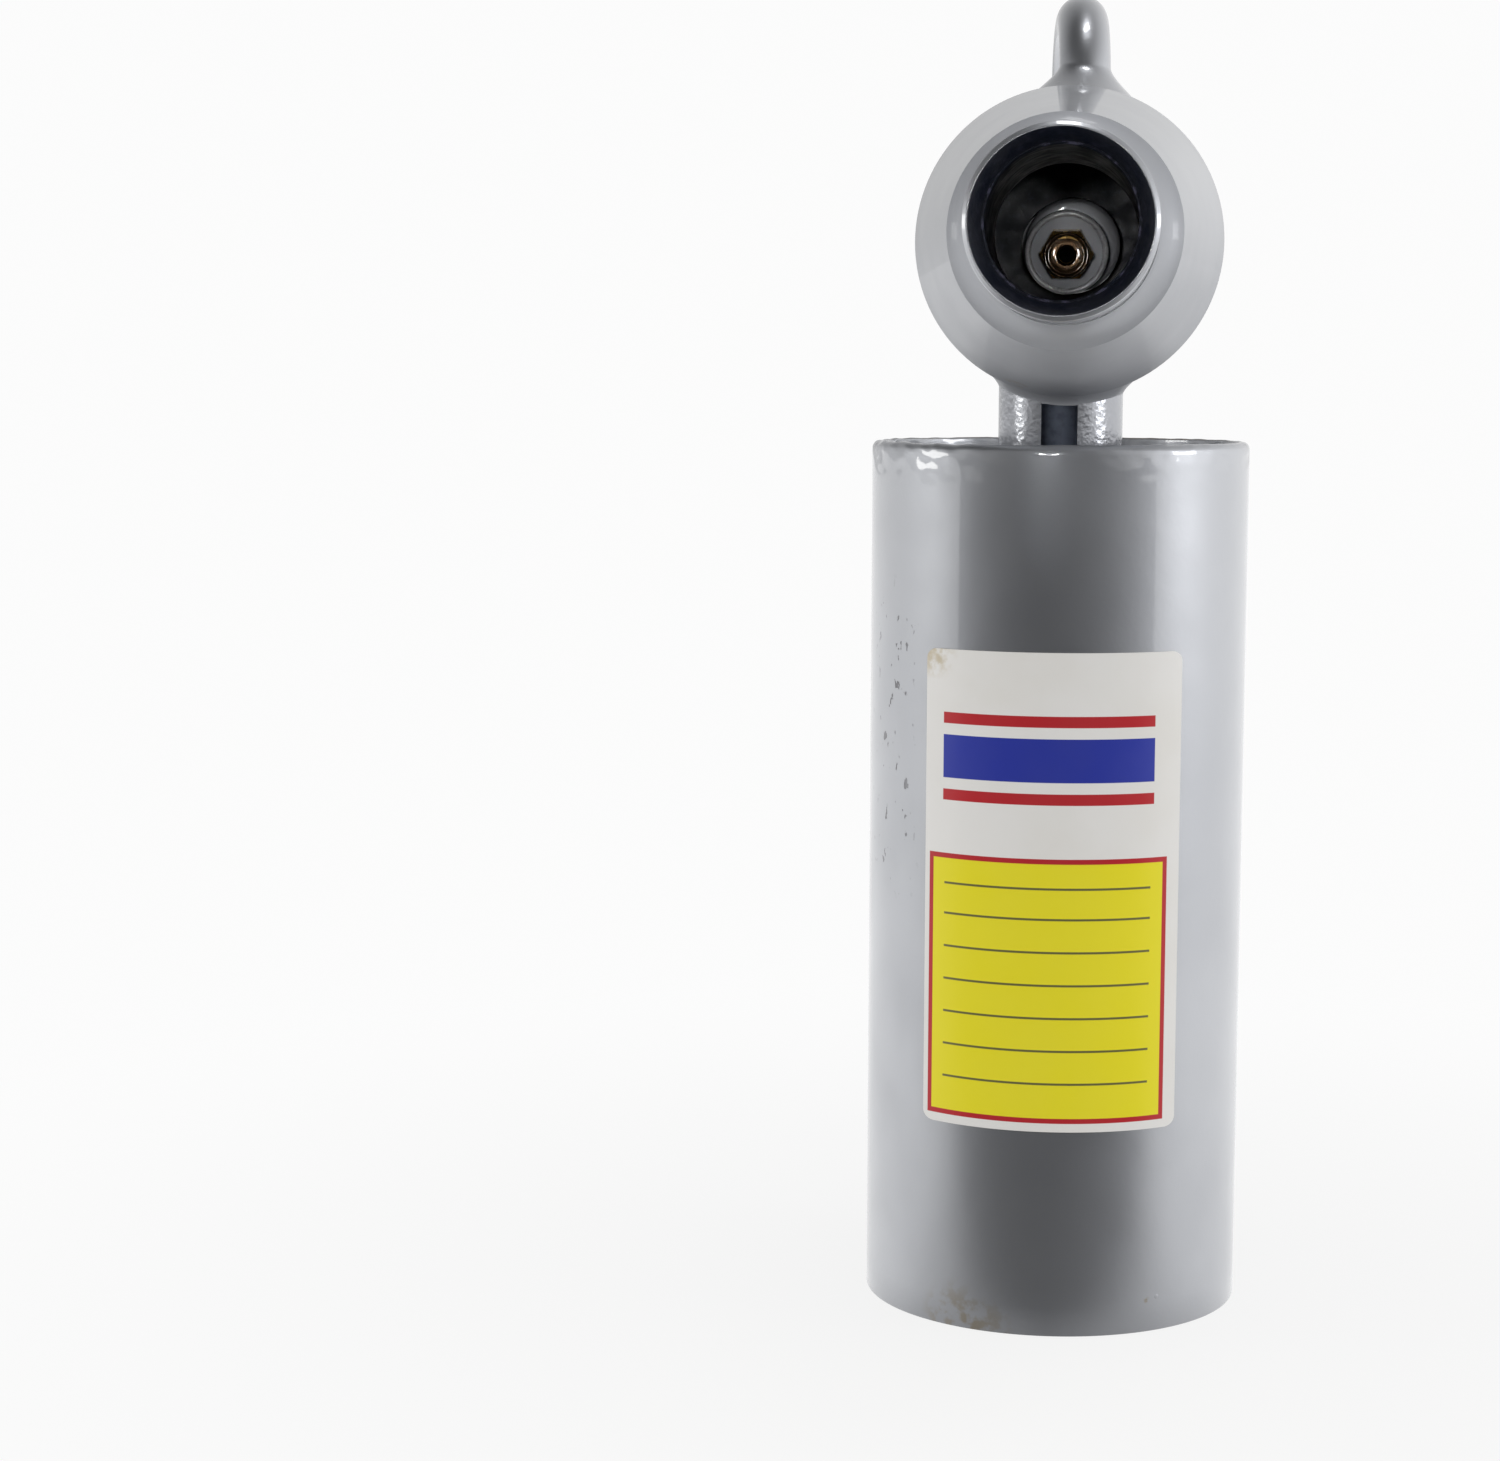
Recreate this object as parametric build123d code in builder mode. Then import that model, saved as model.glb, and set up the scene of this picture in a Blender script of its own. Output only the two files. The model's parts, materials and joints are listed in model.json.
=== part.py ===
from build123d import *

import os
from math import atan2, cos, pi, radians, sin, tan

# A petrol blowlamp: an upright tank that is also the grip, a slotted neck, and a burner that points forward.
# The frame is +Z up, the mouth of the flame tube faces -Y, and the origin is the tank's axis on its foot.
# Lengths are in millimetres and angles in degrees.

# Fits
weld_gap = 0.1
running_gap = 0.05
seat_gap = 0.1
cut_overrun = 5.0

# Tank
tank_d = 76.0
tank_height = 175.0
tank_wall = 2.0
rim_outer_round_share = 0.75
rim_inner_round_share = 0.2
tray_depth = 4.0
plate_thickness = 3.0

# Sticker on the tank
label_width = 53.6
label_height = 94.0
label_bottom = 41.2
label_thickness = 0.2
label_corner = 2.0

# Neck, with the fuel riser and its wick inside
neck_d = 25.0
neck_wall = 2.0
neck_rise = 9.1
neck_slot_width = 7.2
neck_slot_sill = 1.5
riser_d = 10.0
riser_wall = 1.0
riser_foot = 9.0
wick_gap = 0.3
wick_tail = 3.0
wick_top_below_rim = 25.0

# Burner: a jacketed drum, a cone in front of it and the flame tube
burner_side = 1.5
drum_d = 60.0
drum_wall = 2.0
drum_front = 20.0
drum_rear = 20.0
jacket_depth = 4.5
liner_wall = 1.5
ring_thickness = 3.0
jacket_front_inset = 2.0
cone_length = 45.5
cone_tip_edge = 4.65
cone_wall = 2.0
flame_tube_d = 33.5
flame_tube_wall = 3.35
flame_tube_out = 40.5
flame_tube_in = 19.5
spigot_step = 0.3
mouth_bevel = 5.5
lip_land = 0.85
lip_round_share = 0.47
collar_length = 7.5
collar_edge = 0.4

# Air holes in the lower part of the burner's rear plate
air_hole_d = 5.5
air_hole_count = 4
air_hole_first = 45.0
air_hole_sector = 90.0

# Vapour pipe, from the drum's top over to the valve body
pipe_d = 10.2
pipe_wall = 2.1
pipe_straight = 0.3
pipe_front_y = -3.0
pipe_front_side = 2.5
pipe_rear_reach = 7.0
pipe_rear_side = 0.3
pipe_seat_height = 6.0
boss_edge = 0.3
boss_flare = 6.7
boss_height = 5.4
boss_hollow_share = 0.4
rear_boss_flare = 1.9
rear_boss_height = 3.0

# Valve axis: it crosses the burner's axis height inside the drum's rear face and rises to the rear
valve_cross_inset = 6.0
valve_side = -0.8
valve_tilt = 8.0

# Valve body, measured along the valve axis from that crossing
valve_nose = 9.0
valve_nose_d = 16.6
valve_flange_d = 18.8
valve_flange_start = 1.5
valve_block_d = 21.0
valve_thread_start = 14.5
valve_block_end = 23.0
valve_chamber_d = 6.4
valve_inlet_d = 3.0
valve_seat_start = 1.0
valve_seat_bore = 2.0
packing_d = 11.0
packing_length = 4.5
packing_room = 8.0
gland_thread_d = 16.0

# Jet
jet_hex = 9.5
jet_head = 4.4
jet_chamfer = 0.55
jet_shank_d = 5.0
jet_shank_length = 5.5
jet_bowl_d = 5.4
jet_bowl_depth = 1.6
jet_orifice_d = 0.8
jet_feed_d = 2.0
jet_wall = 1.0
jet_washer_d = 9.0
jet_washer_thickness = 0.6

# Needle and spindle
needle_d = 3.0
needle_tip_d = 1.2
needle_socket_depth = 8.0
spindle_thread_d = 8.0
spindle_thread_length = 7.5
spindle_thread_pitch = 1.0
spindle_turns = 2.5
spindle_stem_d = 6.0
wheel_square = 4.2
wheel_bolt_d = 4.0
wheel_distance = 60.0

# Gland nut
gland_nut_wall = 1.5
gland_nut_length = 11.0
gland_end_wall = 3.0
gland_chamfer = 1.0

# Handwheel
wheel_d = 40.0
wheel_thickness = 12.0
wheel_flute_count = 8
wheel_flute_d = 10.0
wheel_flute_depth = 2.8
wheel_round = 1.2
wheel_hub_d = 14.0
wheel_dish_depth = 2.5
wheel_rim = 5.5
wheel_washer_d = 9.0
wheel_washer_thickness = 0.8
wheel_nut_hex = 7.0
wheel_nut_thickness = 3.2
wheel_bolt_spare = 1.2

# Filler: its axis leaves the tank's back below the rim and rises to the rear
filler_below_rim = 40.0
filler_tilt = 35.0
bung_d = 22.0
bung_thread_d = 16.0
bung_inside = 10.0
bung_outside = 12.0
gasket_gap = 0.3
gasket_thickness = 1.5
cap_overhang = 1.5
cap_thickness = 11.0
cap_thread_pitch = 1.5
cap_turns = 5
cap_thread_spare = 0.5
cap_flute_count = 18
cap_flute_d = 2.4
cap_edge = 0.8

# Safety valve in the cap, measured from the spigot's inner end
relief_chamber_d = 8.0
relief_inlet_d = 3.0
relief_seat_start = 1.0
relief_seat_thickness = 2.4
relief_rim_d = 5.0
relief_pad_d = 7.2
relief_pad_thickness = 2.0
relief_spring_length = 7.2
relief_spring_d = 6.4
relief_wire_d = 0.8
relief_spring_turns = 4
relief_screw_thickness = 3.5
relief_screw_slot = 1.2
relief_screw_slot_depth = 1.2
relief_vent_d = 2.0

# Radii and places that follow from the sizes above
tank_r = tank_d / 2
tank_inner_r = tank_r - tank_wall
tray_z = tank_height - tray_depth
filler_height = tank_height - filler_below_rim
top_plate_z = tray_z - plate_thickness
drum_r = drum_d / 2
drum_inner_r = drum_r - drum_wall
liner_r = drum_inner_r - jacket_depth
liner_inner_r = liner_r - liner_wall
neck_r = neck_d / 2
riser_r = riser_d / 2
riser_bore_r = riser_r - riser_wall
flame_tube_r = flame_tube_d / 2
flame_bore_r = flame_tube_r - flame_tube_wall
spigot_r = flame_tube_r - spigot_step
cone_tip_r = flame_tube_r + cone_tip_edge
pipe_r = pipe_d / 2
burner_z = tank_height + neck_rise + drum_r
cone_y = -drum_front - cone_length
lip_y = cone_y - flame_tube_out
shoulder_y = cone_y - collar_length - weld_gap
rear_ring_y = drum_rear - ring_thickness
valve_cross_y = drum_rear - valve_cross_inset
pipe_rear_y = drum_rear + pipe_rear_reach
valve_block_r = valve_block_d / 2
gland_hex = gland_thread_d + 2 * gland_nut_wall
cap_r = bung_d / 2 + cap_overhang

# Stations along the valve axis: the block stands on the rear plate, and the spindle has room to open
block_tilt_reach = valve_block_r * sin(radians(valve_tilt))
valve_block_start = (valve_cross_inset + weld_gap + block_tilt_reach) / cos(radians(valve_tilt))
spindle_front = valve_thread_start + 3 * seat_gap
spindle_thread_end = spindle_front + spindle_thread_length
spindle_travel = spindle_turns * spindle_thread_pitch
packing_start = spindle_thread_end + spindle_travel + 2 * seat_gap
valve_body_end = packing_start + packing_room

burner_axis = Axis((burner_side, 0, burner_z), (0, 1, 0))
valve_axis = Axis(
    (burner_side + valve_side, valve_cross_y, burner_z),
    (0, cos(radians(valve_tilt)), sin(radians(valve_tilt))),
)
filler_axis = Axis(
    (0, tank_r, filler_height),
    (0, cos(radians(filler_tilt)), sin(radians(filler_tilt))),
)


def across(axis, station):
    """The plane square to an axis at a distance along it, facing along the axis."""
    origin = axis.position + axis.direction * station
    return Plane(origin=origin, x_dir=(1, 0, 0), z_dir=axis.direction)


def along(axis):
    """The plane that holds an axis: local x runs along it and local y is the radius."""
    return Plane(origin=axis.position, x_dir=axis.direction, z_dir=(1, 0, 0))


def cone_radius(y):
    """The outer radius of the burner's cone at a place along the burner."""
    share = (y - cone_y) / cone_length
    return cone_tip_r + (drum_r - cone_tip_r) * share


def keep(part, name):
    """Label a finished piece and write it to its file."""
    part.label = name
    export_step(part, f"parts/{name}.step")


os.makedirs("parts", exist_ok=True)

# Tank: shell, bottom plate flush with the foot, top plate sunk below the rim
with BuildPart() as tank_shell:
    with BuildSketch():
        Circle(tank_r)
        Circle(tank_inner_r, mode=Mode.SUBTRACT)
    extrude(amount=tank_height)
    rim_outer = tank_shell.edges().group_by(Axis.Z)[-1].sort_by(SortBy.RADIUS)[-1]
    fillet(rim_outer, tank_wall * rim_outer_round_share)
    rim_inner = tank_shell.edges().group_by(Axis.Z)[-1].sort_by(SortBy.RADIUS)[0]
    fillet(rim_inner, tank_wall * rim_inner_round_share)
    with BuildSketch(across(filler_axis, -bung_inside - cut_overrun)):
        Circle(bung_d / 2 + weld_gap)
    extrude(amount=bung_inside + bung_outside + cut_overrun, mode=Mode.SUBTRACT)
keep(tank_shell.part, "tank_shell")

with BuildPart() as tank_bottom_plate:
    with BuildSketch():
        Circle(tank_inner_r - weld_gap)
    extrude(amount=plate_thickness)
keep(tank_bottom_plate.part, "tank_bottom_plate")

with BuildPart() as tank_top_plate:
    with BuildSketch(Plane.XY.offset(top_plate_z)):
        Circle(tank_inner_r - weld_gap)
        Circle(riser_r + weld_gap, mode=Mode.SUBTRACT)
    extrude(amount=plate_thickness)
keep(tank_top_plate.part, "tank_top_plate")

# Sticker: a thin shell on the front of the tank, cut to a rectangle with round corners
label_half_angle = label_width / 2 / tank_r
label_chord = 2 * (tank_r + label_thickness) * sin(label_half_angle)
with BuildPart() as label:
    with BuildSketch(Plane.XY.offset(label_bottom)):
        Circle(tank_r + running_gap + label_thickness)
        Circle(tank_r + running_gap, mode=Mode.SUBTRACT)
    extrude(amount=label_height)
    with BuildSketch(Plane.XZ):
        with Locations((0, label_bottom + label_height / 2)):
            RectangleRounded(label_chord, label_height, label_corner)
    extrude(amount=tank_d, mode=Mode.INTERSECT)
keep(label.part, "label")

# Neck: a tube cut to the drum's underside, slotted in front for air and the priming flame
with BuildPart() as neck_sleeve:
    with BuildSketch(Plane.XY.offset(tray_z)):
        Circle(neck_r)
        Circle(neck_r - neck_wall, mode=Mode.SUBTRACT)
    extrude(amount=burner_z - tray_z)
    with BuildSketch(across(burner_axis, -drum_front)):
        Circle(drum_r + weld_gap)
    extrude(amount=drum_front + drum_rear, mode=Mode.SUBTRACT)
    with BuildSketch(Plane.XZ):
        with Locations((0, tray_z + neck_slot_sill)):
            Rectangle(neck_slot_width, drum_r, align=(Align.CENTER, Align.MIN))
    extrude(amount=neck_d, mode=Mode.SUBTRACT)
keep(neck_sleeve.part, "neck_sleeve")

# Riser: from near the tank's floor up into the drum's jacket, with a cotton wick in it
jacket_middle_r = (drum_inner_r + liner_r) / 2
riser_top = burner_z - jacket_middle_r
with BuildPart() as riser_pipe:
    with BuildSketch(Plane.XY.offset(riser_foot)):
        Circle(riser_r)
        Circle(riser_bore_r, mode=Mode.SUBTRACT)
    extrude(amount=riser_top - riser_foot)
keep(riser_pipe.part, "riser_pipe")

with BuildPart() as wick:
    with BuildSketch(Plane.XY.offset(riser_foot - wick_tail)):
        Circle(riser_bore_r - wick_gap)
    extrude(amount=tank_height - wick_top_below_rim - riser_foot + wick_tail)
keep(wick.part, "wick")

# Drum: the outer wall of the vaporiser, with holes for the riser and the vapour pipe
pipe_front = Vector(burner_side + pipe_front_side, pipe_front_y, 0)
pipe_rear = Vector(burner_side + pipe_rear_side, pipe_rear_y, 0)
with BuildPart() as drum_shell:
    with BuildSketch(across(burner_axis, -drum_front)):
        Circle(drum_r)
        Circle(drum_inner_r, mode=Mode.SUBTRACT)
    extrude(amount=drum_front + drum_rear)
    with BuildSketch(Plane.XY.offset(tank_height)):
        Circle(riser_r + weld_gap)
    extrude(amount=burner_z - tank_height, mode=Mode.SUBTRACT)
    with BuildSketch(Plane.XY.offset(burner_z)):
        with Locations((pipe_front.X, pipe_front.Y)):
            Circle(pipe_r + weld_gap)
    extrude(amount=drum_d, mode=Mode.SUBTRACT)
keep(drum_shell.part, "drum_shell")

with BuildPart() as jacket_liner:
    with BuildSketch(across(burner_axis, -drum_front + jacket_front_inset)):
        Circle(liner_r)
        Circle(liner_inner_r, mode=Mode.SUBTRACT)
    extrude(amount=rear_ring_y + drum_front - jacket_front_inset)
keep(jacket_liner.part, "jacket_liner")

with BuildPart() as jacket_front_ring:
    with BuildSketch(across(burner_axis, -drum_front + jacket_front_inset)):
        Circle(drum_inner_r - weld_gap)
        Circle(liner_r + weld_gap, mode=Mode.SUBTRACT)
    extrude(amount=ring_thickness)
keep(jacket_front_ring.part, "jacket_front_ring")

# Rear plate: closes the drum, holds the valve body and lets the air in through its lower half
air_hole_r = (valve_flange_d / 2 + liner_inner_r) / 2
with BuildPart() as rear_plate:
    with BuildSketch(across(burner_axis, rear_ring_y)):
        Circle(drum_inner_r - weld_gap)
        with PolarLocations(
            air_hole_r, air_hole_count, air_hole_first, air_hole_sector, endpoint=True
        ):
            Circle(air_hole_d / 2, mode=Mode.SUBTRACT)
    extrude(amount=ring_thickness)
    with BuildSketch(across(valve_axis, -valve_nose)):
        Circle(valve_flange_d / 2 + weld_gap)
    extrude(amount=valve_nose + valve_body_end, mode=Mode.SUBTRACT)
keep(rear_plate.part, "rear_plate")

# Cone: an open shell with a front wall that the flame tube passes through
cone_inside_y = cone_y + cone_wall
with BuildPart() as front_cone:
    with BuildSketch(along(burner_axis)):
        with BuildLine():
            Polyline(
                (-drum_front, drum_inner_r),
                (-drum_front, drum_r),
                (cone_y, cone_tip_r),
                (cone_y, spigot_r + weld_gap),
                (cone_inside_y, spigot_r + weld_gap),
                (cone_inside_y, cone_radius(cone_inside_y) - cone_wall),
                close=True,
            )
        make_face()
    revolve(axis=burner_axis)
keep(front_cone.part, "front_cone")

# Collar: the hollow-faced ring between the cone and the flame tube
collar_inner_r = spigot_r + weld_gap
with BuildPart() as tube_collar:
    with BuildSketch(along(burner_axis)):
        with BuildLine():
            hollow = TangentArc(
                (cone_y - collar_length, collar_inner_r + collar_edge),
                (cone_y, cone_tip_r),
                tangent=(1, 0),
            )
            Polyline(
                hollow @ 1,
                (cone_y, collar_inner_r),
                (cone_y - collar_length, collar_inner_r),
                hollow @ 0,
            )
        make_face()
    revolve(axis=burner_axis)
keep(tube_collar.part, "tube_collar")

# Flame tube: bevelled inside its mouth, rounded at its lip, and turned down where it enters the collar and cone
with BuildPart() as flame_tube:
    with BuildSketch(along(burner_axis)):
        with BuildLine():
            Polyline(
                (lip_y, flame_tube_r - lip_land),
                (lip_y, flame_tube_r),
                (shoulder_y, flame_tube_r),
                (shoulder_y, spigot_r),
                (cone_y + flame_tube_in, spigot_r),
                (cone_y + flame_tube_in, flame_bore_r),
                (lip_y + mouth_bevel, flame_bore_r),
                close=True,
            )
        make_face()
    revolve(axis=burner_axis)
    lip_edges = flame_tube.edges().group_by(Axis.Y)[0].sort_by(SortBy.RADIUS)
    fillet(lip_edges, lip_land * lip_round_share)
keep(flame_tube.part, "flame_tube")

# Vapour pipe: up from the jacket, over in a half turn, and down into the valve body
drum_top = burner_z + drum_r
pipe_span = pipe_rear - pipe_front
pipe_bend_r = pipe_span.length / 2
pipe_bend_z = drum_top + pipe_straight
pipe_inlet_z = burner_z + jacket_middle_r
valve_z_at_pipe = burner_z + (pipe_rear_y - valve_cross_y) * tan(radians(valve_tilt))
pipe_seat_z = valve_z_at_pipe + pipe_seat_height
pipe_plane = Plane(
    origin=(pipe_front.X, pipe_front.Y, pipe_bend_z),
    x_dir=pipe_span,
    z_dir=pipe_span.cross(Vector(0, 0, 1)),
)
with BuildLine(pipe_plane) as pipe_line:
    Line((0, pipe_inlet_z - pipe_bend_z), (0, 0))
    CenterArc((pipe_bend_r, 0), pipe_bend_r, 180, -180)
    Line((2 * pipe_bend_r, 0), (2 * pipe_bend_r, pipe_seat_z - pipe_bend_z))
pipe_path = pipe_line.wires()[0]

with BuildPart() as vapour_pipe:
    with BuildSketch(Plane.XY.offset(pipe_inlet_z)):
        with Locations((pipe_front.X, pipe_front.Y)):
            Circle(pipe_r)
            Circle(pipe_r - pipe_wall, mode=Mode.SUBTRACT)
    sweep(path=pipe_path)
keep(vapour_pipe.part, "vapour_pipe")


def make_pipe_boss(leg, seat_axis, seat_r, seat_z, flare, height):
    """A flared weld boss round a leg of the vapour pipe, cut to the round body below it."""
    hollow_r = pipe_r + boss_edge + (flare - boss_edge) * boss_hollow_share
    with BuildPart() as boss:
        with BuildSketch(Plane(origin=(leg.X, leg.Y, seat_z), x_dir=(1, 0, 0), z_dir=(0, -1, 0))):
            with BuildLine():
                hollow = ThreePointArc(
                    (pipe_r + boss_edge, height),
                    (hollow_r, height * boss_hollow_share),
                    (pipe_r + flare, 0),
                )
                Polyline(
                    hollow @ 1,
                    (pipe_r + flare, -height),
                    (0, -height),
                    (0, height),
                    hollow @ 0,
                )
            make_face()
        revolve(axis=Axis((leg.X, leg.Y, seat_z), (0, 0, 1)))
        with BuildSketch(across(seat_axis, -drum_d)):
            Circle(seat_r + weld_gap)
        extrude(amount=2 * drum_d, mode=Mode.SUBTRACT)
        with BuildSketch(Plane.XY.offset(pipe_inlet_z)):
            with Locations((pipe_front.X, pipe_front.Y)):
                Circle(pipe_r + weld_gap)
        sweep(path=pipe_path, mode=Mode.SUBTRACT)
    return boss.part


front_pipe_boss = make_pipe_boss(
    pipe_front, burner_axis, drum_r, drum_top, boss_flare, boss_height
)
keep(front_pipe_boss, "front_pipe_boss")

rear_pipe_boss = make_pipe_boss(
    pipe_rear,
    valve_axis,
    valve_block_r,
    valve_z_at_pipe + valve_block_r,
    rear_boss_flare,
    rear_boss_height,
)
keep(rear_pipe_boss, "rear_pipe_boss")

# Valve body: the jet's thread, a seat, the vapour chamber, the spindle's thread and the packing
valve_seat_end = valve_seat_start + valve_chamber_d / 2 - valve_seat_bore / 2
with BuildPart() as valve_body:
    with BuildSketch(along(valve_axis)):
        with BuildLine():
            Polyline(
                (-valve_nose, jet_shank_d / 2 + running_gap),
                (-valve_nose, valve_nose_d / 2),
                (valve_flange_start, valve_nose_d / 2),
                (valve_flange_start, valve_flange_d / 2),
                (valve_block_start, valve_flange_d / 2),
                (valve_block_start, valve_block_r),
                (valve_block_end, valve_block_r),
                (valve_block_end, gland_thread_d / 2),
                (valve_body_end, gland_thread_d / 2),
                (valve_body_end, packing_d / 2),
                (packing_start, packing_d / 2),
                (packing_start, spindle_thread_d / 2 + running_gap),
                (valve_thread_start, spindle_thread_d / 2 + running_gap),
                (valve_thread_start, valve_chamber_d / 2),
                (valve_seat_end, valve_chamber_d / 2),
                (valve_seat_start, valve_seat_bore / 2),
                (-valve_nose + jet_shank_length, valve_seat_bore / 2),
                (-valve_nose + jet_shank_length, jet_shank_d / 2 + running_gap),
                close=True,
            )
        make_face()
    revolve(axis=valve_axis)
    with BuildSketch(Plane.XY.offset(pipe_seat_z)):
        with Locations((pipe_rear.X, pipe_rear.Y)):
            Circle(pipe_r + weld_gap)
    extrude(amount=valve_block_d, mode=Mode.SUBTRACT)
    with BuildSketch(Plane.XY.offset(pipe_seat_z)):
        with Locations((pipe_rear.X, pipe_rear.Y)):
            Circle(valve_inlet_d / 2)
    extrude(amount=valve_z_at_pipe - pipe_seat_z, mode=Mode.SUBTRACT)
keep(valve_body.part, "valve_body")

# Jet: a hexagonal nipple with a turned front, a bowl round its orifice and a wide feed behind it
jet_seat = -valve_nose - jet_washer_thickness
jet_face = jet_seat - jet_head
jet_shank_end = jet_seat + jet_shank_length
with BuildPart() as jet:
    with BuildSketch(across(valve_axis, jet_face)):
        RegularPolygon(jet_hex / 2, 6, major_radius=False)
    extrude(amount=jet_head)
    with BuildSketch(along(valve_axis)):
        with BuildLine():
            Polyline(
                (jet_face, 0),
                (jet_face, jet_hex / 2 - jet_chamfer),
                (jet_seat, jet_hex),
                (jet_seat, 0),
                close=True,
            )
        make_face()
    revolve(axis=valve_axis, mode=Mode.INTERSECT)
    with BuildSketch(across(valve_axis, jet_seat)):
        Circle(jet_shank_d / 2)
    extrude(amount=jet_shank_length)
    with BuildSketch(along(valve_axis)):
        with BuildLine():
            Polyline(
                (jet_face - jet_wall, 0),
                (jet_face - jet_wall, jet_bowl_d / 2),
                (jet_face, jet_bowl_d / 2),
                (jet_face + jet_bowl_depth, jet_orifice_d / 2),
                (jet_face + jet_bowl_depth + jet_wall, jet_orifice_d / 2),
                (jet_face + jet_bowl_depth + jet_wall, jet_feed_d / 2),
                (jet_shank_end + jet_wall, jet_feed_d / 2),
                (jet_shank_end + jet_wall, 0),
                close=True,
            )
        make_face()
    revolve(axis=valve_axis, mode=Mode.SUBTRACT)
keep(jet.part, "jet")

with BuildPart() as jet_washer:
    with BuildSketch(across(valve_axis, jet_seat)):
        Circle(jet_washer_d / 2)
        Circle(jet_shank_d / 2 + running_gap, mode=Mode.SUBTRACT)
    extrude(amount=jet_washer_thickness)
keep(jet_washer.part, "jet_washer")

# Needle: a round pin with a taper tip, carried in the spindle's front end
needle_r = needle_d / 2
needle_shoulder = valve_seat_start + needle_r - valve_seat_bore / 2 + seat_gap
needle_tip = needle_shoulder - (needle_r - needle_tip_d / 2)
needle_end = spindle_front + needle_socket_depth - seat_gap
with BuildPart() as valve_needle:
    with BuildSketch(along(valve_axis)):
        with BuildLine():
            Polyline(
                (needle_tip, 0),
                (needle_tip, needle_tip_d / 2),
                (needle_shoulder, needle_r),
                (needle_end, needle_r),
                (needle_end, 0),
                close=True,
            )
        make_face()
    revolve(axis=valve_axis)
keep(valve_needle.part, "valve_needle")

# Spindle: thread, stem, a square for the handwheel and a bolt end for its nut
square_end = wheel_distance + wheel_thickness - wheel_dish_depth
bolt_end = square_end + wheel_washer_thickness + wheel_nut_thickness + wheel_bolt_spare
with BuildPart() as valve_spindle:
    with BuildSketch(along(valve_axis)):
        with BuildLine():
            Polyline(
                (spindle_front, needle_r + running_gap),
                (spindle_front, spindle_thread_d / 2),
                (spindle_thread_end, spindle_thread_d / 2),
                (spindle_thread_end, spindle_stem_d / 2),
                (wheel_distance, spindle_stem_d / 2),
                (wheel_distance, 0),
                (spindle_front + needle_socket_depth, 0),
                (spindle_front + needle_socket_depth, needle_r + running_gap),
                close=True,
            )
        make_face()
    revolve(axis=valve_axis)
    with BuildSketch(across(valve_axis, wheel_distance)):
        Rectangle(wheel_square, wheel_square)
    extrude(amount=square_end - seat_gap - wheel_distance)
    with BuildSketch(across(valve_axis, square_end - seat_gap)):
        Circle(wheel_bolt_d / 2)
    extrude(amount=bolt_end - square_end + seat_gap)
keep(valve_spindle.part, "valve_spindle")

# Gland: a graphite packing ring and the nut that presses it
with BuildPart() as gland_packing:
    with BuildSketch(across(valve_axis, packing_start + seat_gap)):
        Circle(packing_d / 2 - running_gap)
        Circle(spindle_stem_d / 2 + running_gap, mode=Mode.SUBTRACT)
    extrude(amount=packing_length)
keep(gland_packing.part, "gland_packing")

gland_sleeve_start = packing_start + packing_length + 2 * seat_gap
gland_wall_start = valve_body_end + 3 * seat_gap
gland_nut_end = gland_wall_start + gland_end_wall
gland_nut_start = gland_nut_end - gland_nut_length
with BuildPart() as gland_nut:
    with BuildSketch(across(valve_axis, gland_nut_start)):
        RegularPolygon(gland_hex / 2, 6, major_radius=False)
        Circle(gland_thread_d / 2 + running_gap, mode=Mode.SUBTRACT)
    extrude(amount=gland_wall_start - gland_nut_start)
    with BuildSketch(across(valve_axis, gland_wall_start)):
        RegularPolygon(gland_hex / 2, 6, major_radius=False)
    extrude(amount=gland_end_wall)
    with BuildSketch(across(valve_axis, gland_sleeve_start)):
        Circle(packing_d / 2 - running_gap)
    extrude(amount=gland_wall_start - gland_sleeve_start)
    with BuildSketch(across(valve_axis, gland_sleeve_start)):
        Circle(spindle_stem_d / 2 + running_gap)
    extrude(amount=gland_nut_end - gland_sleeve_start, mode=Mode.SUBTRACT)
    with BuildSketch(along(valve_axis)):
        with BuildLine():
            Polyline(
                (gland_nut_start, 0),
                (gland_nut_start, gland_hex),
                (gland_nut_end - gland_hex / 2 - gland_chamfer, gland_hex),
                (gland_nut_end, gland_hex / 2 - gland_chamfer),
                (gland_nut_end, 0),
                close=True,
            )
        make_face()
    revolve(axis=valve_axis, mode=Mode.INTERSECT)
keep(gland_nut.part, "gland_nut")

# Handwheel: a fluted disc, dished at the back, on the spindle's square
with BuildPart() as handwheel:
    with BuildSketch(across(valve_axis, wheel_distance)):
        Circle(wheel_d / 2)
        with PolarLocations(wheel_d / 2 + wheel_flute_d / 2 - wheel_flute_depth, wheel_flute_count):
            Circle(wheel_flute_d / 2, mode=Mode.SUBTRACT)
    extrude(amount=wheel_thickness)
    fillet(handwheel.faces().sort_by(valve_axis)[-1].edges(), wheel_round)
    fillet(handwheel.faces().sort_by(valve_axis)[0].edges(), wheel_round)
    with BuildSketch(across(valve_axis, square_end)):
        Circle(wheel_d / 2 - wheel_rim)
    extrude(amount=wheel_dish_depth, mode=Mode.SUBTRACT)
    with BuildSketch(across(valve_axis, wheel_distance)):
        Circle(wheel_d / 2 - wheel_rim)
        Circle(wheel_hub_d / 2, mode=Mode.SUBTRACT)
    extrude(amount=wheel_dish_depth, mode=Mode.SUBTRACT)
    with BuildSketch(across(valve_axis, wheel_distance)):
        Rectangle(wheel_square + 2 * running_gap, wheel_square + 2 * running_gap)
    extrude(amount=wheel_thickness, mode=Mode.SUBTRACT)
keep(handwheel.part, "handwheel")

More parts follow.
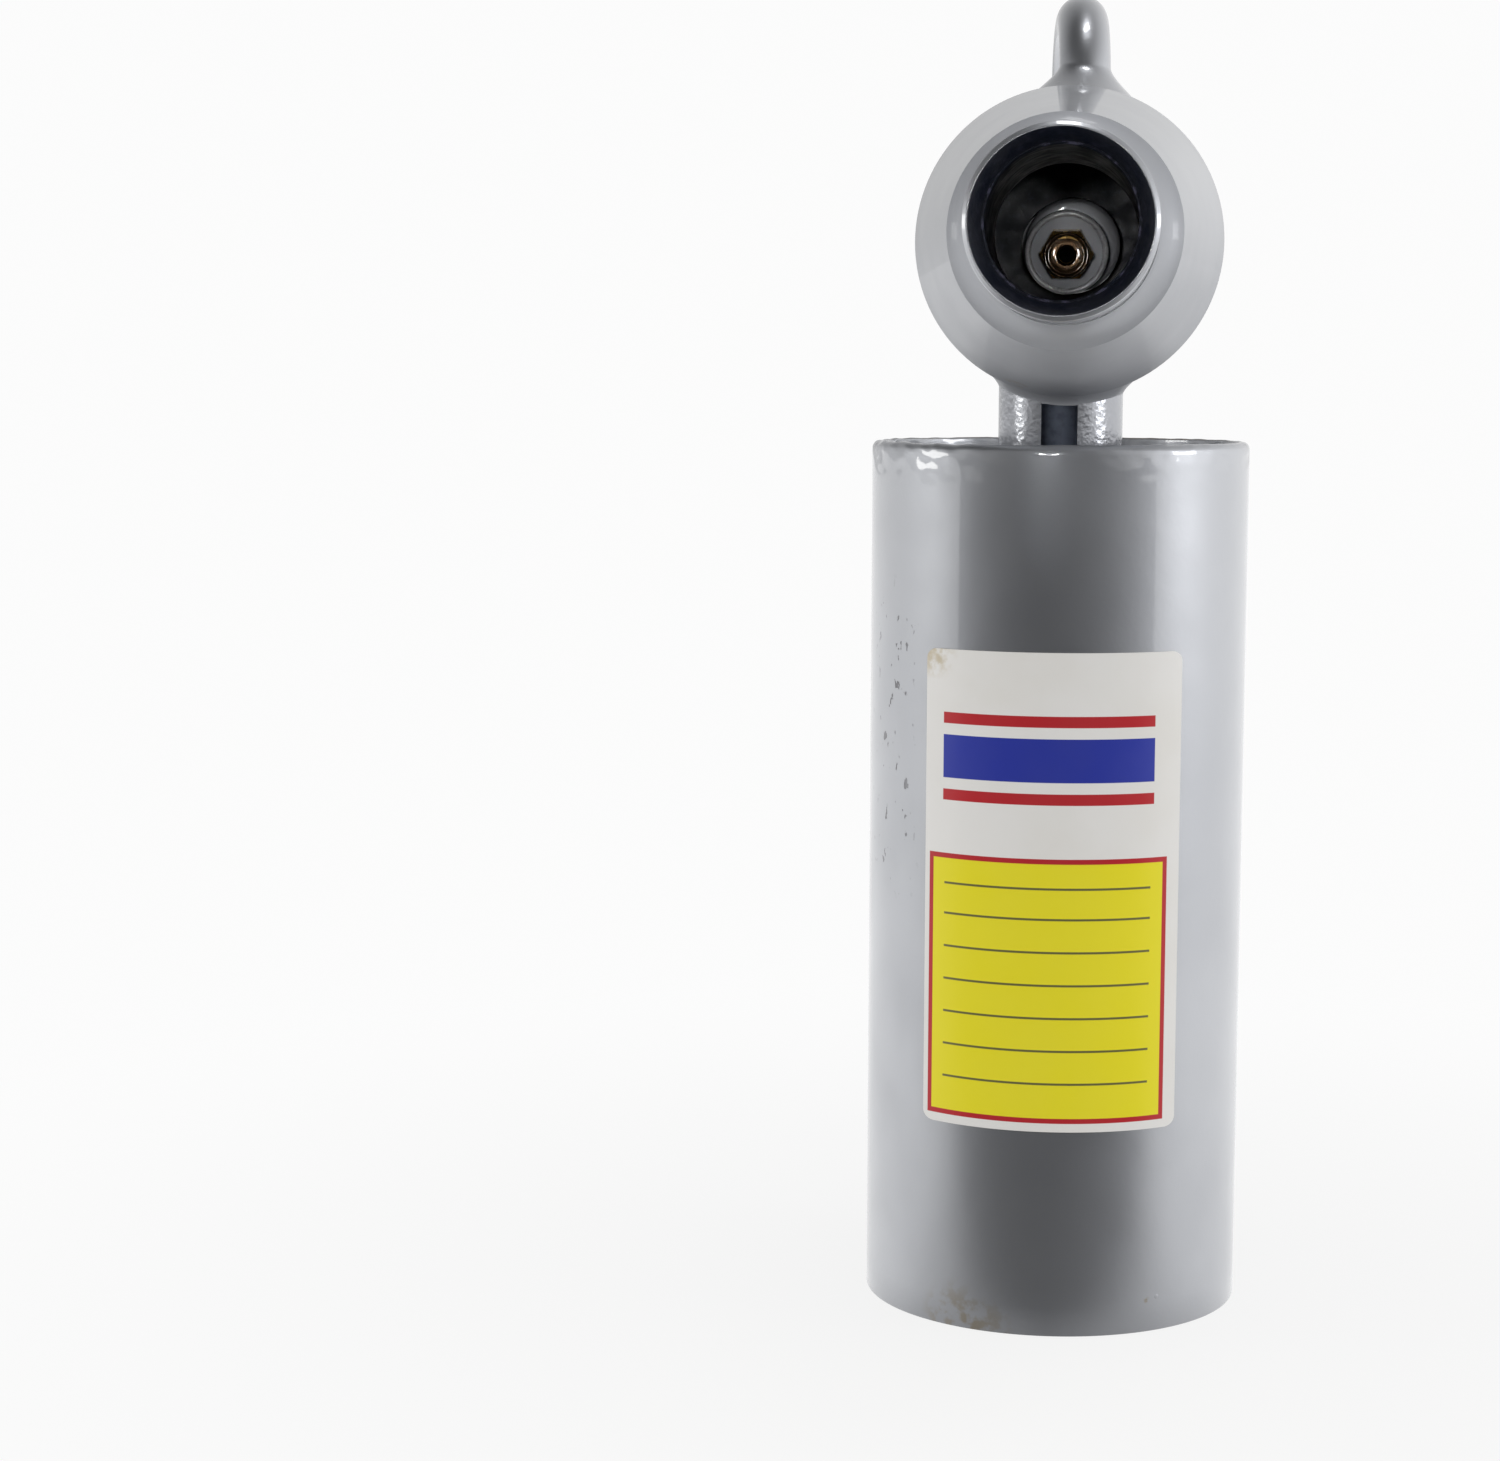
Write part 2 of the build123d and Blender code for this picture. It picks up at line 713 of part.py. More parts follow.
with BuildPart() as wheel_washer:
    with BuildSketch(across(valve_axis, square_end)):
        Circle(wheel_washer_d / 2)
        Circle(wheel_bolt_d / 2 + running_gap, mode=Mode.SUBTRACT)
    extrude(amount=wheel_washer_thickness)
keep(wheel_washer.part, "wheel_washer")

with BuildPart() as wheel_nut:
    with BuildSketch(across(valve_axis, square_end + wheel_washer_thickness)):
        RegularPolygon(wheel_nut_hex / 2, 6, major_radius=False)
        Circle(wheel_bolt_d / 2 + running_gap, mode=Mode.SUBTRACT)
    extrude(amount=wheel_nut_thickness)
keep(wheel_nut.part, "wheel_nut")

# Filler: a threaded bung in the tank wall, its gasket and its cap
with BuildPart() as filler_bung:
    with BuildSketch(across(filler_axis, -bung_inside)):
        Circle(bung_d / 2)
        Circle(bung_thread_d / 2 + running_gap, mode=Mode.SUBTRACT)
    extrude(amount=bung_inside + bung_outside)
keep(filler_bung.part, "filler_bung")

with BuildPart() as filler_gasket:
    with BuildSketch(across(filler_axis, bung_outside)):
        Circle(bung_d / 2)
        Circle(bung_thread_d / 2 + gasket_gap, mode=Mode.SUBTRACT)
    extrude(amount=gasket_thickness)
keep(filler_gasket.part, "filler_gasket")

cap_start = bung_outside + gasket_thickness
cap_end = cap_start + cap_thickness
cap_rise = cap_turns * cap_thread_pitch
cap_spigot = cap_rise + cap_thread_spare
spigot_start = cap_start - cap_spigot
seat_start = spigot_start + relief_seat_start
seat_end = seat_start + relief_seat_thickness
with BuildPart() as filler_cap:
    with BuildSketch(across(filler_axis, cap_start)):
        Circle(cap_r)
        with PolarLocations(cap_r, cap_flute_count):
            Circle(cap_flute_d / 2, mode=Mode.SUBTRACT)
    extrude(amount=cap_thickness)
    with BuildSketch(along(filler_axis)):
        with BuildLine():
            Polyline(
                (cap_start, 0),
                (cap_start, cap_r - cap_edge),
                (cap_start + cap_edge, cap_r),
                (cap_end - cap_edge, cap_r),
                (cap_end, cap_r - cap_edge),
                (cap_end, 0),
                close=True,
            )
        make_face()
    revolve(axis=filler_axis, mode=Mode.INTERSECT)
    with BuildSketch(across(filler_axis, spigot_start)):
        Circle(bung_thread_d / 2)
    extrude(amount=cap_spigot)
    with BuildSketch(across(filler_axis, seat_start)):
        Circle(relief_chamber_d / 2)
    extrude(amount=cap_end - seat_start, mode=Mode.SUBTRACT)
    with BuildSketch(across(filler_axis, spigot_start)):
        Circle(relief_rim_d / 2)
    extrude(amount=relief_seat_start, mode=Mode.SUBTRACT)
keep(filler_cap.part, "filler_cap")

# Safety valve: seat bush, rubber-faced pad, spring and the slotted screw that loads it
with BuildPart() as relief_seat:
    with BuildSketch(across(filler_axis, seat_start + seat_gap)):
        Circle(relief_chamber_d / 2 - running_gap)
        Circle(relief_inlet_d / 2, mode=Mode.SUBTRACT)
    extrude(amount=relief_seat_thickness - seat_gap)
keep(relief_seat.part, "relief_seat")

pad_start = seat_end + seat_gap
pad_end = pad_start + relief_pad_thickness
with BuildPart() as relief_pad:
    with BuildSketch(across(filler_axis, pad_start)):
        Circle(relief_pad_d / 2)
    extrude(amount=relief_pad_thickness)
keep(relief_pad.part, "relief_pad")

spring_start = pad_end + seat_gap
spring_mean_r = relief_spring_d / 2 - relief_wire_d / 2
spring_travel = relief_spring_length - relief_wire_d
spring_pitch = spring_travel / relief_spring_turns
with BuildPart() as relief_spring:
    spring_seat = across(filler_axis, spring_start + relief_wire_d / 2)
    spring_line = Helix(
        pitch=spring_pitch,
        height=spring_travel,
        radius=spring_mean_r,
        center=spring_seat.origin,
        direction=spring_seat.z_dir,
        mode=Mode.PRIVATE,
    )
    with BuildSketch(Plane(origin=spring_line @ 0, z_dir=spring_line % 0)):
        Circle(relief_wire_d / 2)
    sweep(path=spring_line)
keep(relief_spring.part, "relief_spring")
spring_slope = atan2(spring_pitch, 2 * pi * spring_mean_r)
print("spring: least gap between turns", round(spring_pitch * cos(spring_slope) - relief_wire_d, 3))

screw_start = spring_start + relief_spring_length + seat_gap
screw_end = screw_start + relief_screw_thickness
with BuildPart() as relief_screw:
    with BuildSketch(across(filler_axis, screw_start)):
        Circle(relief_chamber_d / 2 - running_gap)
        Circle(relief_vent_d / 2, mode=Mode.SUBTRACT)
    extrude(amount=relief_screw_thickness)
    with BuildSketch(across(filler_axis, screw_end)):
        Rectangle(relief_chamber_d, relief_screw_slot)
    extrude(amount=-relief_screw_slot_depth, mode=Mode.SUBTRACT)
keep(relief_screw.part, "relief_screw")

print("burner axis", tuple(burner_axis.position), "lip at y", lip_y)
print("valve axis", tuple(valve_axis.position), tuple(valve_axis.direction))
print("valve travel", spindle_travel, "over", spindle_turns, "turns")
print("filler axis", tuple(filler_axis.position), tuple(filler_axis.direction))
print("cap rise", cap_rise, "over", cap_turns, "turns")
print("relief spring from", spring_start, "to", spring_start + relief_spring_length)
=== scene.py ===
import json
from math import cos, pi, radians, sin
import bpy
from mathutils import Euler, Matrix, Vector


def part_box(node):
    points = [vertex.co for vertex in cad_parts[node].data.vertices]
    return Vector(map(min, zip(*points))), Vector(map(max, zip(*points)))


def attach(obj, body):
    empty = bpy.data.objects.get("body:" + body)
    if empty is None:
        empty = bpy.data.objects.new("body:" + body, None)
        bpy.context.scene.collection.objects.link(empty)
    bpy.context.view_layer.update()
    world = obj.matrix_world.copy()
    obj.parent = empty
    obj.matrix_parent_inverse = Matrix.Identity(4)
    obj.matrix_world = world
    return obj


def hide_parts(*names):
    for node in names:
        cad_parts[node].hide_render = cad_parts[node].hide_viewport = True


# Petrol blowlamp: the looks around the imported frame. Lengths are in metres, mm turns millimetres into them.
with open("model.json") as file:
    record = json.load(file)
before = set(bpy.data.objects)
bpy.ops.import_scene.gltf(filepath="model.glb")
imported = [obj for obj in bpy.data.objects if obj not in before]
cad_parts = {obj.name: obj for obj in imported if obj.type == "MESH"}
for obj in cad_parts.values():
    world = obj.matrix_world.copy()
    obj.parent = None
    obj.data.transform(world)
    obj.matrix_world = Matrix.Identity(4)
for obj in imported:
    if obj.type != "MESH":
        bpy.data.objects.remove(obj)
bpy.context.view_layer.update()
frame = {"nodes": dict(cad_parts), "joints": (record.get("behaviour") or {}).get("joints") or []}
mm = 0.001
nodes = frame["nodes"]
joints = {joint["name"]: joint for joint in frame["joints"]}
print("frame loaded:", len(nodes), "nodes")


def boxMiddle(node):
    low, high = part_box(node)
    return (low + high) / 2


def boxSize(node):
    low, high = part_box(node)
    return high - low


def facing(direction, axis="Z"):
    # the angles that turn a thing's own axis along a direction
    return Vector(direction).to_track_quat(axis, "Y").to_euler()


def placed(name, data, place):
    thing = bpy.data.objects.new(name, data)
    bpy.context.scene.collection.objects.link(thing)
    thing.location = place
    return thing


tankRadius = boxSize("tank_shell").x / 2
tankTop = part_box("tank_shell")[1].z
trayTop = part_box("tank_top_plate")[1].z
drumMiddle = boxMiddle("drum_shell")
drumRadius = boxSize("drum_shell").x / 2
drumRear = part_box("drum_shell")[1].y
tubeRadius = boxSize("flame_tube").x / 2
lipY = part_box("flame_tube")[0].y
mouth = (drumMiddle.x, lipY, drumMiddle.z)
valveDirection = Vector(joints["valve_turn"]["axis"])
valvePoint = Vector(joints["valve_turn"]["pos_m"])
fillerDirection = Vector(joints["cap_turn"]["axis"])
fillerPoint = Vector(joints["cap_turn"]["pos_m"])


# Camera: a longish lens at the height of the neck, looking a little down and to the left of the lamp
cameraLook = {
    "lens": 75.62,
    "sensor": 36,
    "distance": 0.6439,
    "height": 0.1894,
    "azimuth": 1.03,
    "turn": -5.584,
    "pitch": 6.561,
    "roll": 0.171,
}


def makeCamera(look):
    azimuth = radians(look["azimuth"])
    place = (look["distance"] * sin(azimuth), -look["distance"] * cos(azimuth), look["height"])
    camera = placed("photoCamera", bpy.data.cameras.new("photoCamera"), place)
    camera.data.lens = look["lens"]
    camera.data.sensor_width = look["sensor"]
    angles = Euler((radians(90 - look["pitch"]), 0, azimuth - radians(look["turn"])))
    angles.rotate_axis("Z", radians(look["roll"]))
    camera.rotation_euler = angles
    bpy.context.scene.camera = camera


makeCamera(cameraLook)
bpy.context.scene.view_settings.view_transform = "Standard"


# Lamps: a low softbox at each side at the burner's height, and a small one overhead
lampLooks = {
    "leftSoftbox": {
        "place": (-0.83, -0.14, 0.25),
        "aim": (0, 0, 0.22),
        "size": (0.26, 0.12),
        "power": 0.60,
        "colour": (1.0, 0.995, 0.965),
    },
    "rightSoftbox": {
        "place": (0.83, -0.14, 0.25),
        "aim": (0, 0, 0.22),
        "size": (0.26, 0.12),
        "power": 0.80,
        "colour": (0.985, 0.99, 1.0),
    },
    "topSoftbox": {
        "place": (0.077, -0.12, 1.02),
        "aim": (0, 0, 0.2),
        "size": (0.256, 0.12),
        "power": 1.2,
        "colour": (1.0, 1.0, 1.0),
    },
}
# Three spots shine on the mouth alone: a soft one that fills the flame tube, and two that glint on the jet
mouthReach = 14 * mm
mouthBlend = 0.25
mouthLooks = {
    "leftFill": {"place": (-0.055, -0.60, 0.258), "power": 6.5, "radius": 0.050},
    "leftGlint": {"place": (-0.045, -0.60, 0.212), "power": 2.2, "radius": 0.024},
    "rightGlint": {"place": (0.052, -0.60, 0.212), "power": 2.6, "radius": 0.024},
}


def makeLamp(name, data, look, aim):
    data.energy = look["power"]
    lamp = placed(name, data, look["place"])
    lamp.rotation_euler = facing(Vector(aim) - Vector(look["place"]), "-Z")
    lamp.visible_camera = False


def makeSoftbox(name, look):
    data = bpy.data.lights.new(name, "AREA")
    data.shape = "RECTANGLE"
    data.size, data.size_y = look["size"]
    data.color = look["colour"]
    makeLamp(name, data, look, look["aim"])


def makeMouthSpot(name, look):
    data = bpy.data.lights.new(name, "SPOT")
    distance = (Vector(mouth) - Vector(look["place"])).length
    data.spot_size = 2 * mouthReach / distance
    data.spot_blend = mouthBlend
    data.shadow_soft_size = look["radius"]
    makeLamp(name, data, look, mouth)


for lampName, lampLook in lampLooks.items():
    makeSoftbox(lampName, lampLook)
for spotName, spotLook in mouthLooks.items():
    makeMouthSpot(spotName, spotLook)
print("camera and lamps are set")


# Node work: a Wire is a socket that takes Python arithmetic, and a Finish is a node tree that is being wired
class Wire:
    def __init__(self, finish, made, output=0):
        self.finish = finish
        self.made = made
        self.socket = made.outputs[output] if made.outputs else None

    def __add__(self, other):
        return self.finish.maths("ADD", self, other)

    def __radd__(self, other):
        return self.finish.maths("ADD", other, self)

    def __sub__(self, other):
        return self.finish.maths("SUBTRACT", self, other)

    def __rsub__(self, other):
        return self.finish.maths("SUBTRACT", other, self)

    def __mul__(self, other):
        return self.finish.maths("MULTIPLY", self, other)

    def __rmul__(self, other):
        return self.finish.maths("MULTIPLY", other, self)

    def __pow__(self, other):
        return self.finish.maths("POWER", self, other)

    def __neg__(self):
        return self.finish.maths("MULTIPLY", self, -1)

    def __abs__(self):
        return self.finish.maths("ABSOLUTE", self)


class Finish:
    def __init__(self, owner):
        # owner: the material or world whose tree is wired
        owner.use_nodes = True
        self.tree = owner.node_tree
        self.tree.nodes.clear()

    def node(self, kind, settings=None, sockets=None, output=0):
        made = self.tree.nodes.new(kind)
        for name, value in (settings or {}).items():
            setattr(made, name, value)
        for name, value in (sockets or {}).items():
            if isinstance(value, Wire):
                self.tree.links.new(value.socket, made.inputs[name])
            elif hasattr(value, "__len__") and len(value) == 3 and made.inputs[name].type == "RGBA":
                made.inputs[name].default_value = (*value, 1)
            else:
                made.inputs[name].default_value = value
        return Wire(self, made, output)

    def maths(self, operation, *values):
        return self.node("ShaderNodeMath", {"operation": operation}, dict(enumerate(values)))

    def place(self):
        return self.node("ShaderNodeTexCoord", output="Object")

    def rays(self, kind):
        return self.node("ShaderNodeLightPath", output=f"Is {kind} Ray")

    def turned(self, origin, direction):
        # Object coordinates seen from a point, with the given direction as z
        sockets = {"Vector": self.place(), "Location": tuple(origin), "Rotation": tuple(facing(direction))}
        return self.node("ShaderNodeMapping", {"vector_type": "TEXTURE"}, sockets)

    def parts(self, vector):
        split = self.node("ShaderNodeSeparateXYZ", sockets={"Vector": vector})
        return [Wire(self, split.made, axis) for axis in "XYZ"]

    def joined(self, x, y, z):
        return self.node("ShaderNodeCombineXYZ", sockets={"X": x, "Y": y, "Z": z})

    def away(self, first, second):
        # the distance from the axis that two coordinates are measured from
        return (first * first + second * second) ** 0.5

    def cloud(self, scale, detail=2.0, roughness=0.5, vector=None, stretch=None):
        vector = vector or self.place()
        if stretch:
            vector = self.node("ShaderNodeVectorMath", {"operation": "MULTIPLY"}, {0: vector, 1: stretch})
        sockets = {"Vector": vector, "Scale": scale, "Detail": detail, "Roughness": roughness}
        return self.node("ShaderNodeTexNoise", sockets=sockets)

    def relief(self, scale, detail, depth):
        return self.cloud(scale, detail) * depth

    def patches(self, scale, detail, low, high, roughness=0.5):
        # 0 where a cloud is under low, 1 where it is over high
        return self.ramp(self.cloud(scale, detail, roughness), low, high)

    def cells(self, scale):
        sockets = {"Vector": self.place(), "Scale": scale}
        return self.node("ShaderNodeTexVoronoi", {"feature": "F1"}, sockets, "Distance")

    def ramp(self, value, low, high, start=0.0, end=1.0):
        sockets = {"Value": value, "From Min": low, "From Max": high, "To Min": start, "To Max": end}
        return self.node("ShaderNodeMapRange", {"interpolation_type": "SMOOTHSTEP"}, sockets)

    def mix(self, amount, first, second):
        # inputs 6 and 7 and output 2 are the mix node's colour sockets
        return self.node("ShaderNodeMix", {"data_type": "RGBA"}, {0: amount, 6: first, 7: second}, 2)

    def near(self, point, reach, blur):
        sockets = {0: self.place(), 1: point}
        distance = self.node("ShaderNodeVectorMath", {"operation": "DISTANCE"}, sockets, "Value")
        return self.ramp(distance, reach, reach + blur, 1.0, 0.0)

    def between(self, value, low, high, blur):
        half = blur / 2
        above = self.ramp(value, low - half, low + half)
        return above * self.ramp(value, high - half, high + half, 1.0, 0.0)

    def bump(self, height):
        return self.node("ShaderNodeBump", sockets={"Height": height, "Strength": 1.0, "Distance": 1.0})


materials = {}


def finished(name, wire):
    # wire is called with the finish and returns the shader's sockets by name
    materials[name] = bpy.data.materials.new(name)
    finish = Finish(materials[name])
    shader = finish.node("ShaderNodeBsdfPrincipled", sockets=wire(finish))
    finish.node("ShaderNodeOutputMaterial", sockets={"Surface": shader})


# Grey enamel: satin metallic paint under a clear gloss, with orange peel, slow waves, nibs and faint stains.
# Patches are given by scale, detail and two levels of a cloud, and reliefs by scale, detail and depth
enamelLook = {
    "colour": (0.440, 0.451, 0.478),
    "second": (0.410, 0.421, 0.449),
    "stain": (0.30, 0.235, 0.13),
    "metallic": 0.84,
    "roughness": 0.40,
    "coat": 0.7,
    "coatIor": 1.8,
    "glaze": 0.04,
    "shades": (28, 3.0, 0.35, 0.7),
    "dulled": (60, 2.0),
    "dullGain": 1.15,
    "stained": (400, 3.0, 0.42, 0.62),
    "peel": (900, 1.5),
    "peelDepth": 0.016 * mm,
    "wave": (130, 1.0, 0.05 * mm),
    "nibs": (25, 1.0, 0.52, 0.56),
    "nibScale": 75,
    "nibSize": (0.015, 0.045),
    "nibHeight": 0.05 * mm,
    "pits": (520, 2.5, 0.6),
    "pitStretch": (1, 1, 0.6),
    "pitLevels": (0.635, 0.67),
    "pitColour": (0.10, 0.10, 0.11),
    "pitDepth": 0.10 * mm,
    "undersideBlur": 14 * mm,
}


def enamelParts(finish, peel=1.0, dull=1.0, stains=(), pits=None):
    look = enamelLook
    nibs = finish.ramp(finish.cells(look["nibScale"]), *look["nibSize"], 1.0, 0.0)
    height = finish.relief(*look["peel"], look["peelDepth"] * peel) + finish.relief(*look["wave"])
    height = height + nibs * finish.patches(*look["nibs"]) * look["nibHeight"]
    colour = finish.mix(finish.patches(*look["shades"]), look["colour"], look["second"])
    for point, reach, blur, strength in stains:
        patch = finish.near(tuple(part * mm for part in point), reach * mm, blur * mm)
        colour = finish.mix(patch * finish.patches(*look["stained"]) * strength, colour, look["stain"])
    rough = look["roughness"] * dull
    roughness = finish.ramp(finish.cloud(*look["dulled"]), 0.3, 0.7, rough, rough * look["dullGain"])
    if pits:
        speckle = finish.cloud(*look["pits"], stretch=look["pitStretch"])
        specks = finish.ramp(speckle, *look["pitLevels"]) * pits(finish)
        colour = finish.mix(specks, colour, look["pitColour"])
        height = height - specks * look["pitDepth"]
    return colour, roughness, height


def enamel(name, metallic=enamelLook["metallic"], coat=enamelLook["coat"], underside=None, **options):
    # underside: metallic and coat below the burner's middle, lowered there so the underside shows lighter:
    # painted light
    def wire(finish):
        colour, roughness, height = enamelParts(finish, **options)
        shine, gloss = metallic, coat
        if underside:
            z = finish.parts(finish.place())[2]
            blur = enamelLook["undersideBlur"]
            low, high = drumMiddle.z - blur, drumMiddle.z + blur
            shine = finish.ramp(z, low, high, underside[0], metallic)
            gloss = finish.ramp(z, low, high, underside[1], coat)
        return {
            "Base Color": colour,
            "Metallic": shine,
            "Roughness": roughness,
            "Coat Weight": gloss,
            "Coat Roughness": enamelLook["glaze"],
            "Coat IOR": enamelLook["coatIor"],
            "Normal": finish.bump(height),
        }

    finished(name, wire)


# Heat-dark inner paint, made darker still as painted shade for the dim inside, and the paint of the flame
# tube, which is grey outside and dark inside
innerLook = {
    "colour": (0.006, 0.008, 0.016),
    "second": (0.055, 0.054, 0.088),
    "roughness": 0.38,
    "dulled": (300, 2.0),
    "dullGain": 1.7,
    "blotches": (650, 4.0, 0.48, 0.72, 0.65),
    "grain": (1400, 3.0, 0.06 * mm),
    "wave": (260, 2.0, 0.08 * mm),
    "tubeLightness": 0.2,
}


def innerParts(finish, lightness):
    look = innerLook
    rough = look["roughness"]
    colour = finish.mix(finish.patches(*look["blotches"]) * lightness, look["colour"], look["second"])
    roughness = finish.ramp(finish.cloud(*look["dulled"]), 0.3, 0.7, rough, rough * look["dullGain"])
    height = finish.relief(*look["grain"]) + finish.relief(*look["wave"])
    return colour, roughness, height


def innerPaint(name, lightness):
    def wire(finish):
        colour, roughness, height = innerParts(finish, lightness)
        return {"Base Color": colour, "Roughness": roughness, "Normal": finish.bump(height)}

    finished(name, wire)


def twoSidedPaint(name, edge, blur):
    # enamel outside a radius about the burner's axis, dark paint inside it
    def wire(finish):
        x, y, z = finish.parts(finish.place())
        inside = finish.ramp(finish.away(x - drumMiddle.x, z - drumMiddle.z), edge - blur, edge, 1.0, 0.0)
        outerColour, outerRoughness, outerHeight = enamelParts(finish)
        innerColour, innerRoughness, innerHeight = innerParts(finish, innerLook["tubeLightness"])
        return {
            "Base Color": finish.mix(inside, outerColour, innerColour),
            "Metallic": (1 - inside) * enamelLook["metallic"],
            "Roughness": outerRoughness + (innerRoughness - outerRoughness) * inside,
            "Coat Weight": (1 - inside) * enamelLook["coat"],
            "Coat Roughness": enamelLook["glaze"],
            "Coat IOR": enamelLook["coatIor"],
            "Normal": finish.bump(outerHeight + (innerHeight - outerHeight) * inside),
        }

    finished(name, wire)


# Metals turned on a lathe: fine rings about an axis, with tarnish in blotches
metalLooks = {
    "turnedBrass": {
        "colour": (0.78, 0.52, 0.20), "tarnish": (0.24, 0.13, 0.045), "amount": 0.55, "roughness": 0.22,
    },
    "brownBrass": {
        "colour": (0.72, 0.46, 0.14), "tarnish": (0.13, 0.065, 0.02), "amount": 0.7, "roughness": 0.20,
        "metallic": 0.85,
    },
    # The jet's dome is the jet's brass darkened: painted shade for its place deep in the dim flame tube
    "shadedDomeBrass": {
        "colour": (0.035, 0.017, 0.004), "tarnish": (0.014, 0.007, 0.003), "amount": 0.5, "roughness": 0.16,
        "metallic": 0.8, "coat": 1.0,
    },
    "dullCopper": {
        "colour": (0.72, 0.34, 0.20), "tarnish": (0.20, 0.09, 0.05), "amount": 0.6, "roughness": 0.35,
    },
    "platedSteel": {
        "colour": (0.60, 0.60, 0.58), "tarnish": (0.24, 0.22, 0.19), "amount": 0.4, "roughness": 0.28,
    },
    # A near-white finish for the edge of the jet's boss: a painted highlight for its bright rim
    "highlightEdge": {
        "colour": (0.84, 0.84, 0.86), "tarnish": (0.46, 0.46, 0.48), "amount": 0.5, "roughness": 0.25,
        "metallic": 0.15, "coat": 0.6, "rings": 900,
    },
    # The riser pipe's colour is lightened and tinted blue for the dim bluish shade in the neck's slot:
    # painted light and shade
    "slotShadeSteel": {
        "colour": (0.27, 0.31, 0.41), "tarnish": (0.19, 0.215, 0.29), "amount": 0.8, "roughness": 0.50,
        "metallic": 0.2, "rings": 900,
    },
}
latheLook = {
    "rings": 5000,
    "ringDepth": 0.006 * mm,
    "ringDull": 0.1,
    "grain": (900, 2.0, 0.008 * mm),
    "blotches": (420, 4.0, 0.42, 0.68, 0.6),
    "tarnishDull": 0.25,
    # the colour and blur of the black painted shade inside the jet's bore
    "boreShadeColour": (0.004, 0.004, 0.004),
    "boreShadeBlur": 0.1 * mm,
}


def turnedMetal(name, metal, origin, direction, boreRadius=0.0):
    # boreRadius: inside it the metal is painted black, as painted shade for the jet's deep bore
    look = metalLooks[metal]

    def wire(finish):
        across, upward, station = finish.parts(finish.turned(origin, direction))
        radius = finish.away(across, upward)
        rings = look.get("rings", latheLook["rings"])
        groove = finish.cloud(1.0, vector=finish.joined(radius * rings, station * rings, 0.0))
        blotch = finish.patches(*latheLook["blotches"]) * look["amount"]
        colour = finish.mix(blotch, look["colour"], look["tarnish"])
        if boreRadius:
            low, high = boreRadius - latheLook["boreShadeBlur"], boreRadius + latheLook["boreShadeBlur"]
            black = finish.ramp(radius, low, high, 1.0, 0.0)
            colour = finish.mix(black, colour, latheLook["boreShadeColour"])
            blotch = finish.maths("MAXIMUM", blotch, black)
        dull = blotch * latheLook["tarnishDull"] + groove * latheLook["ringDull"]
        return {
            "Base Color": colour,
            "Metallic": look.get("metallic", 1.0),
            "Coat Weight": look.get("coat", 0.0),
            "Roughness": dull + (look["roughness"] - latheLook["ringDull"] / 2),
            "Normal": finish.bump(groove * latheLook["ringDepth"] + finish.relief(*latheLook["grain"])),
        }

    finished(name, wire)


# Black phenolic of the handwheel: a hard moulding with a fine fleck and dulled high spots
phenolicLook = {
    "colour": (0.012, 0.011, 0.010),
    "fleck": (0.05, 0.038, 0.03),
    "flecks": (2400, 2.0, 0.58, 0.75),
    "roughness": 0.16,
    "rubbedDull": 0.22,
    "rubbed": (90, 3.0, 0.45, 0.75),
    "grain": (700, 2.0, 0.012 * mm),
    "wave": (60, 1.0, 0.08 * mm),
}


def phenolic(name):
    look = phenolicLook

    def wire(finish):
        return {
            "Base Color": finish.mix(finish.patches(*look["flecks"]) * 0.5, look["colour"], look["fleck"]),
            "Roughness": finish.patches(*look["rubbed"]) * look["rubbedDull"] + look["roughness"],
            "Normal": finish.bump(finish.relief(*look["grain"]) + finish.relief(*look["wave"])),
        }

    finished(name, wire)


# Rubber of the seals, dusty in patches
rubberLook = {
    "colour": (0.022, 0.022, 0.022),
    "dust": (0.09, 0.085, 0.08),
    "dusty": (500, 3.0, 0.5, 0.8),
    "roughness": 0.6,
    "dustDull": 0.2,
    "grain": (1500, 3.0, 0.03 * mm),
}


def rubber(name):
    look = rubberLook

    def wire(finish):
        dust = finish.patches(*look["dusty"])
        return {
            "Base Color": finish.mix(dust * 0.4, look["colour"], look["dust"]),
            "Roughness": dust * look["dustDull"] + look["roughness"],
            "Normal": finish.bump(finish.relief(*look["grain"])),
        }

    finished(name, wire)


# Cord finishes: plaits for the gland's packing and twisted strands for the wick; each strand is lighter on
# its crest and darker in the grooves between: painted shade
cordLooks = {
    "packing": {"light": (0.09, 0.09, 0.095), "dark": (0.02, 0.02, 0.022), "scale": 3500, "twist": 9},
    "cotton": {"light": (0.72, 0.66, 0.54), "dark": (0.36, 0.31, 0.22), "scale": 1500, "twist": 3},
}
strandLook = {
    "levels": (-0.9, 0.5),
    "depth": 0.25 * mm,
    "fuzz": (2600, 3.0),
    "fuzzDepth": 0.05 * mm,
    "roughness": 0.85,
}


def cordage(name, origin, direction):
    look = cordLooks[name]

    def wire(finish):
        across, upward, station = finish.parts(finish.turned(origin, direction))
        angle = finish.maths("ARCTAN2", upward, across)
        strand = finish.maths("SINE", station * look["scale"] + angle * look["twist"])
        shade = finish.ramp(strand, *strandLook["levels"])
        fuzz = finish.cloud(*strandLook["fuzz"])
        return {
            "Base Color": finish.mix(shade * fuzz * 1.5, look["dark"], look["light"]),
            "Roughness": strandLook["roughness"],
            "Normal": finish.bump(shade * strandLook["depth"] + fuzz * strandLook["fuzzDepth"]),
        }

    finished(name, wire)


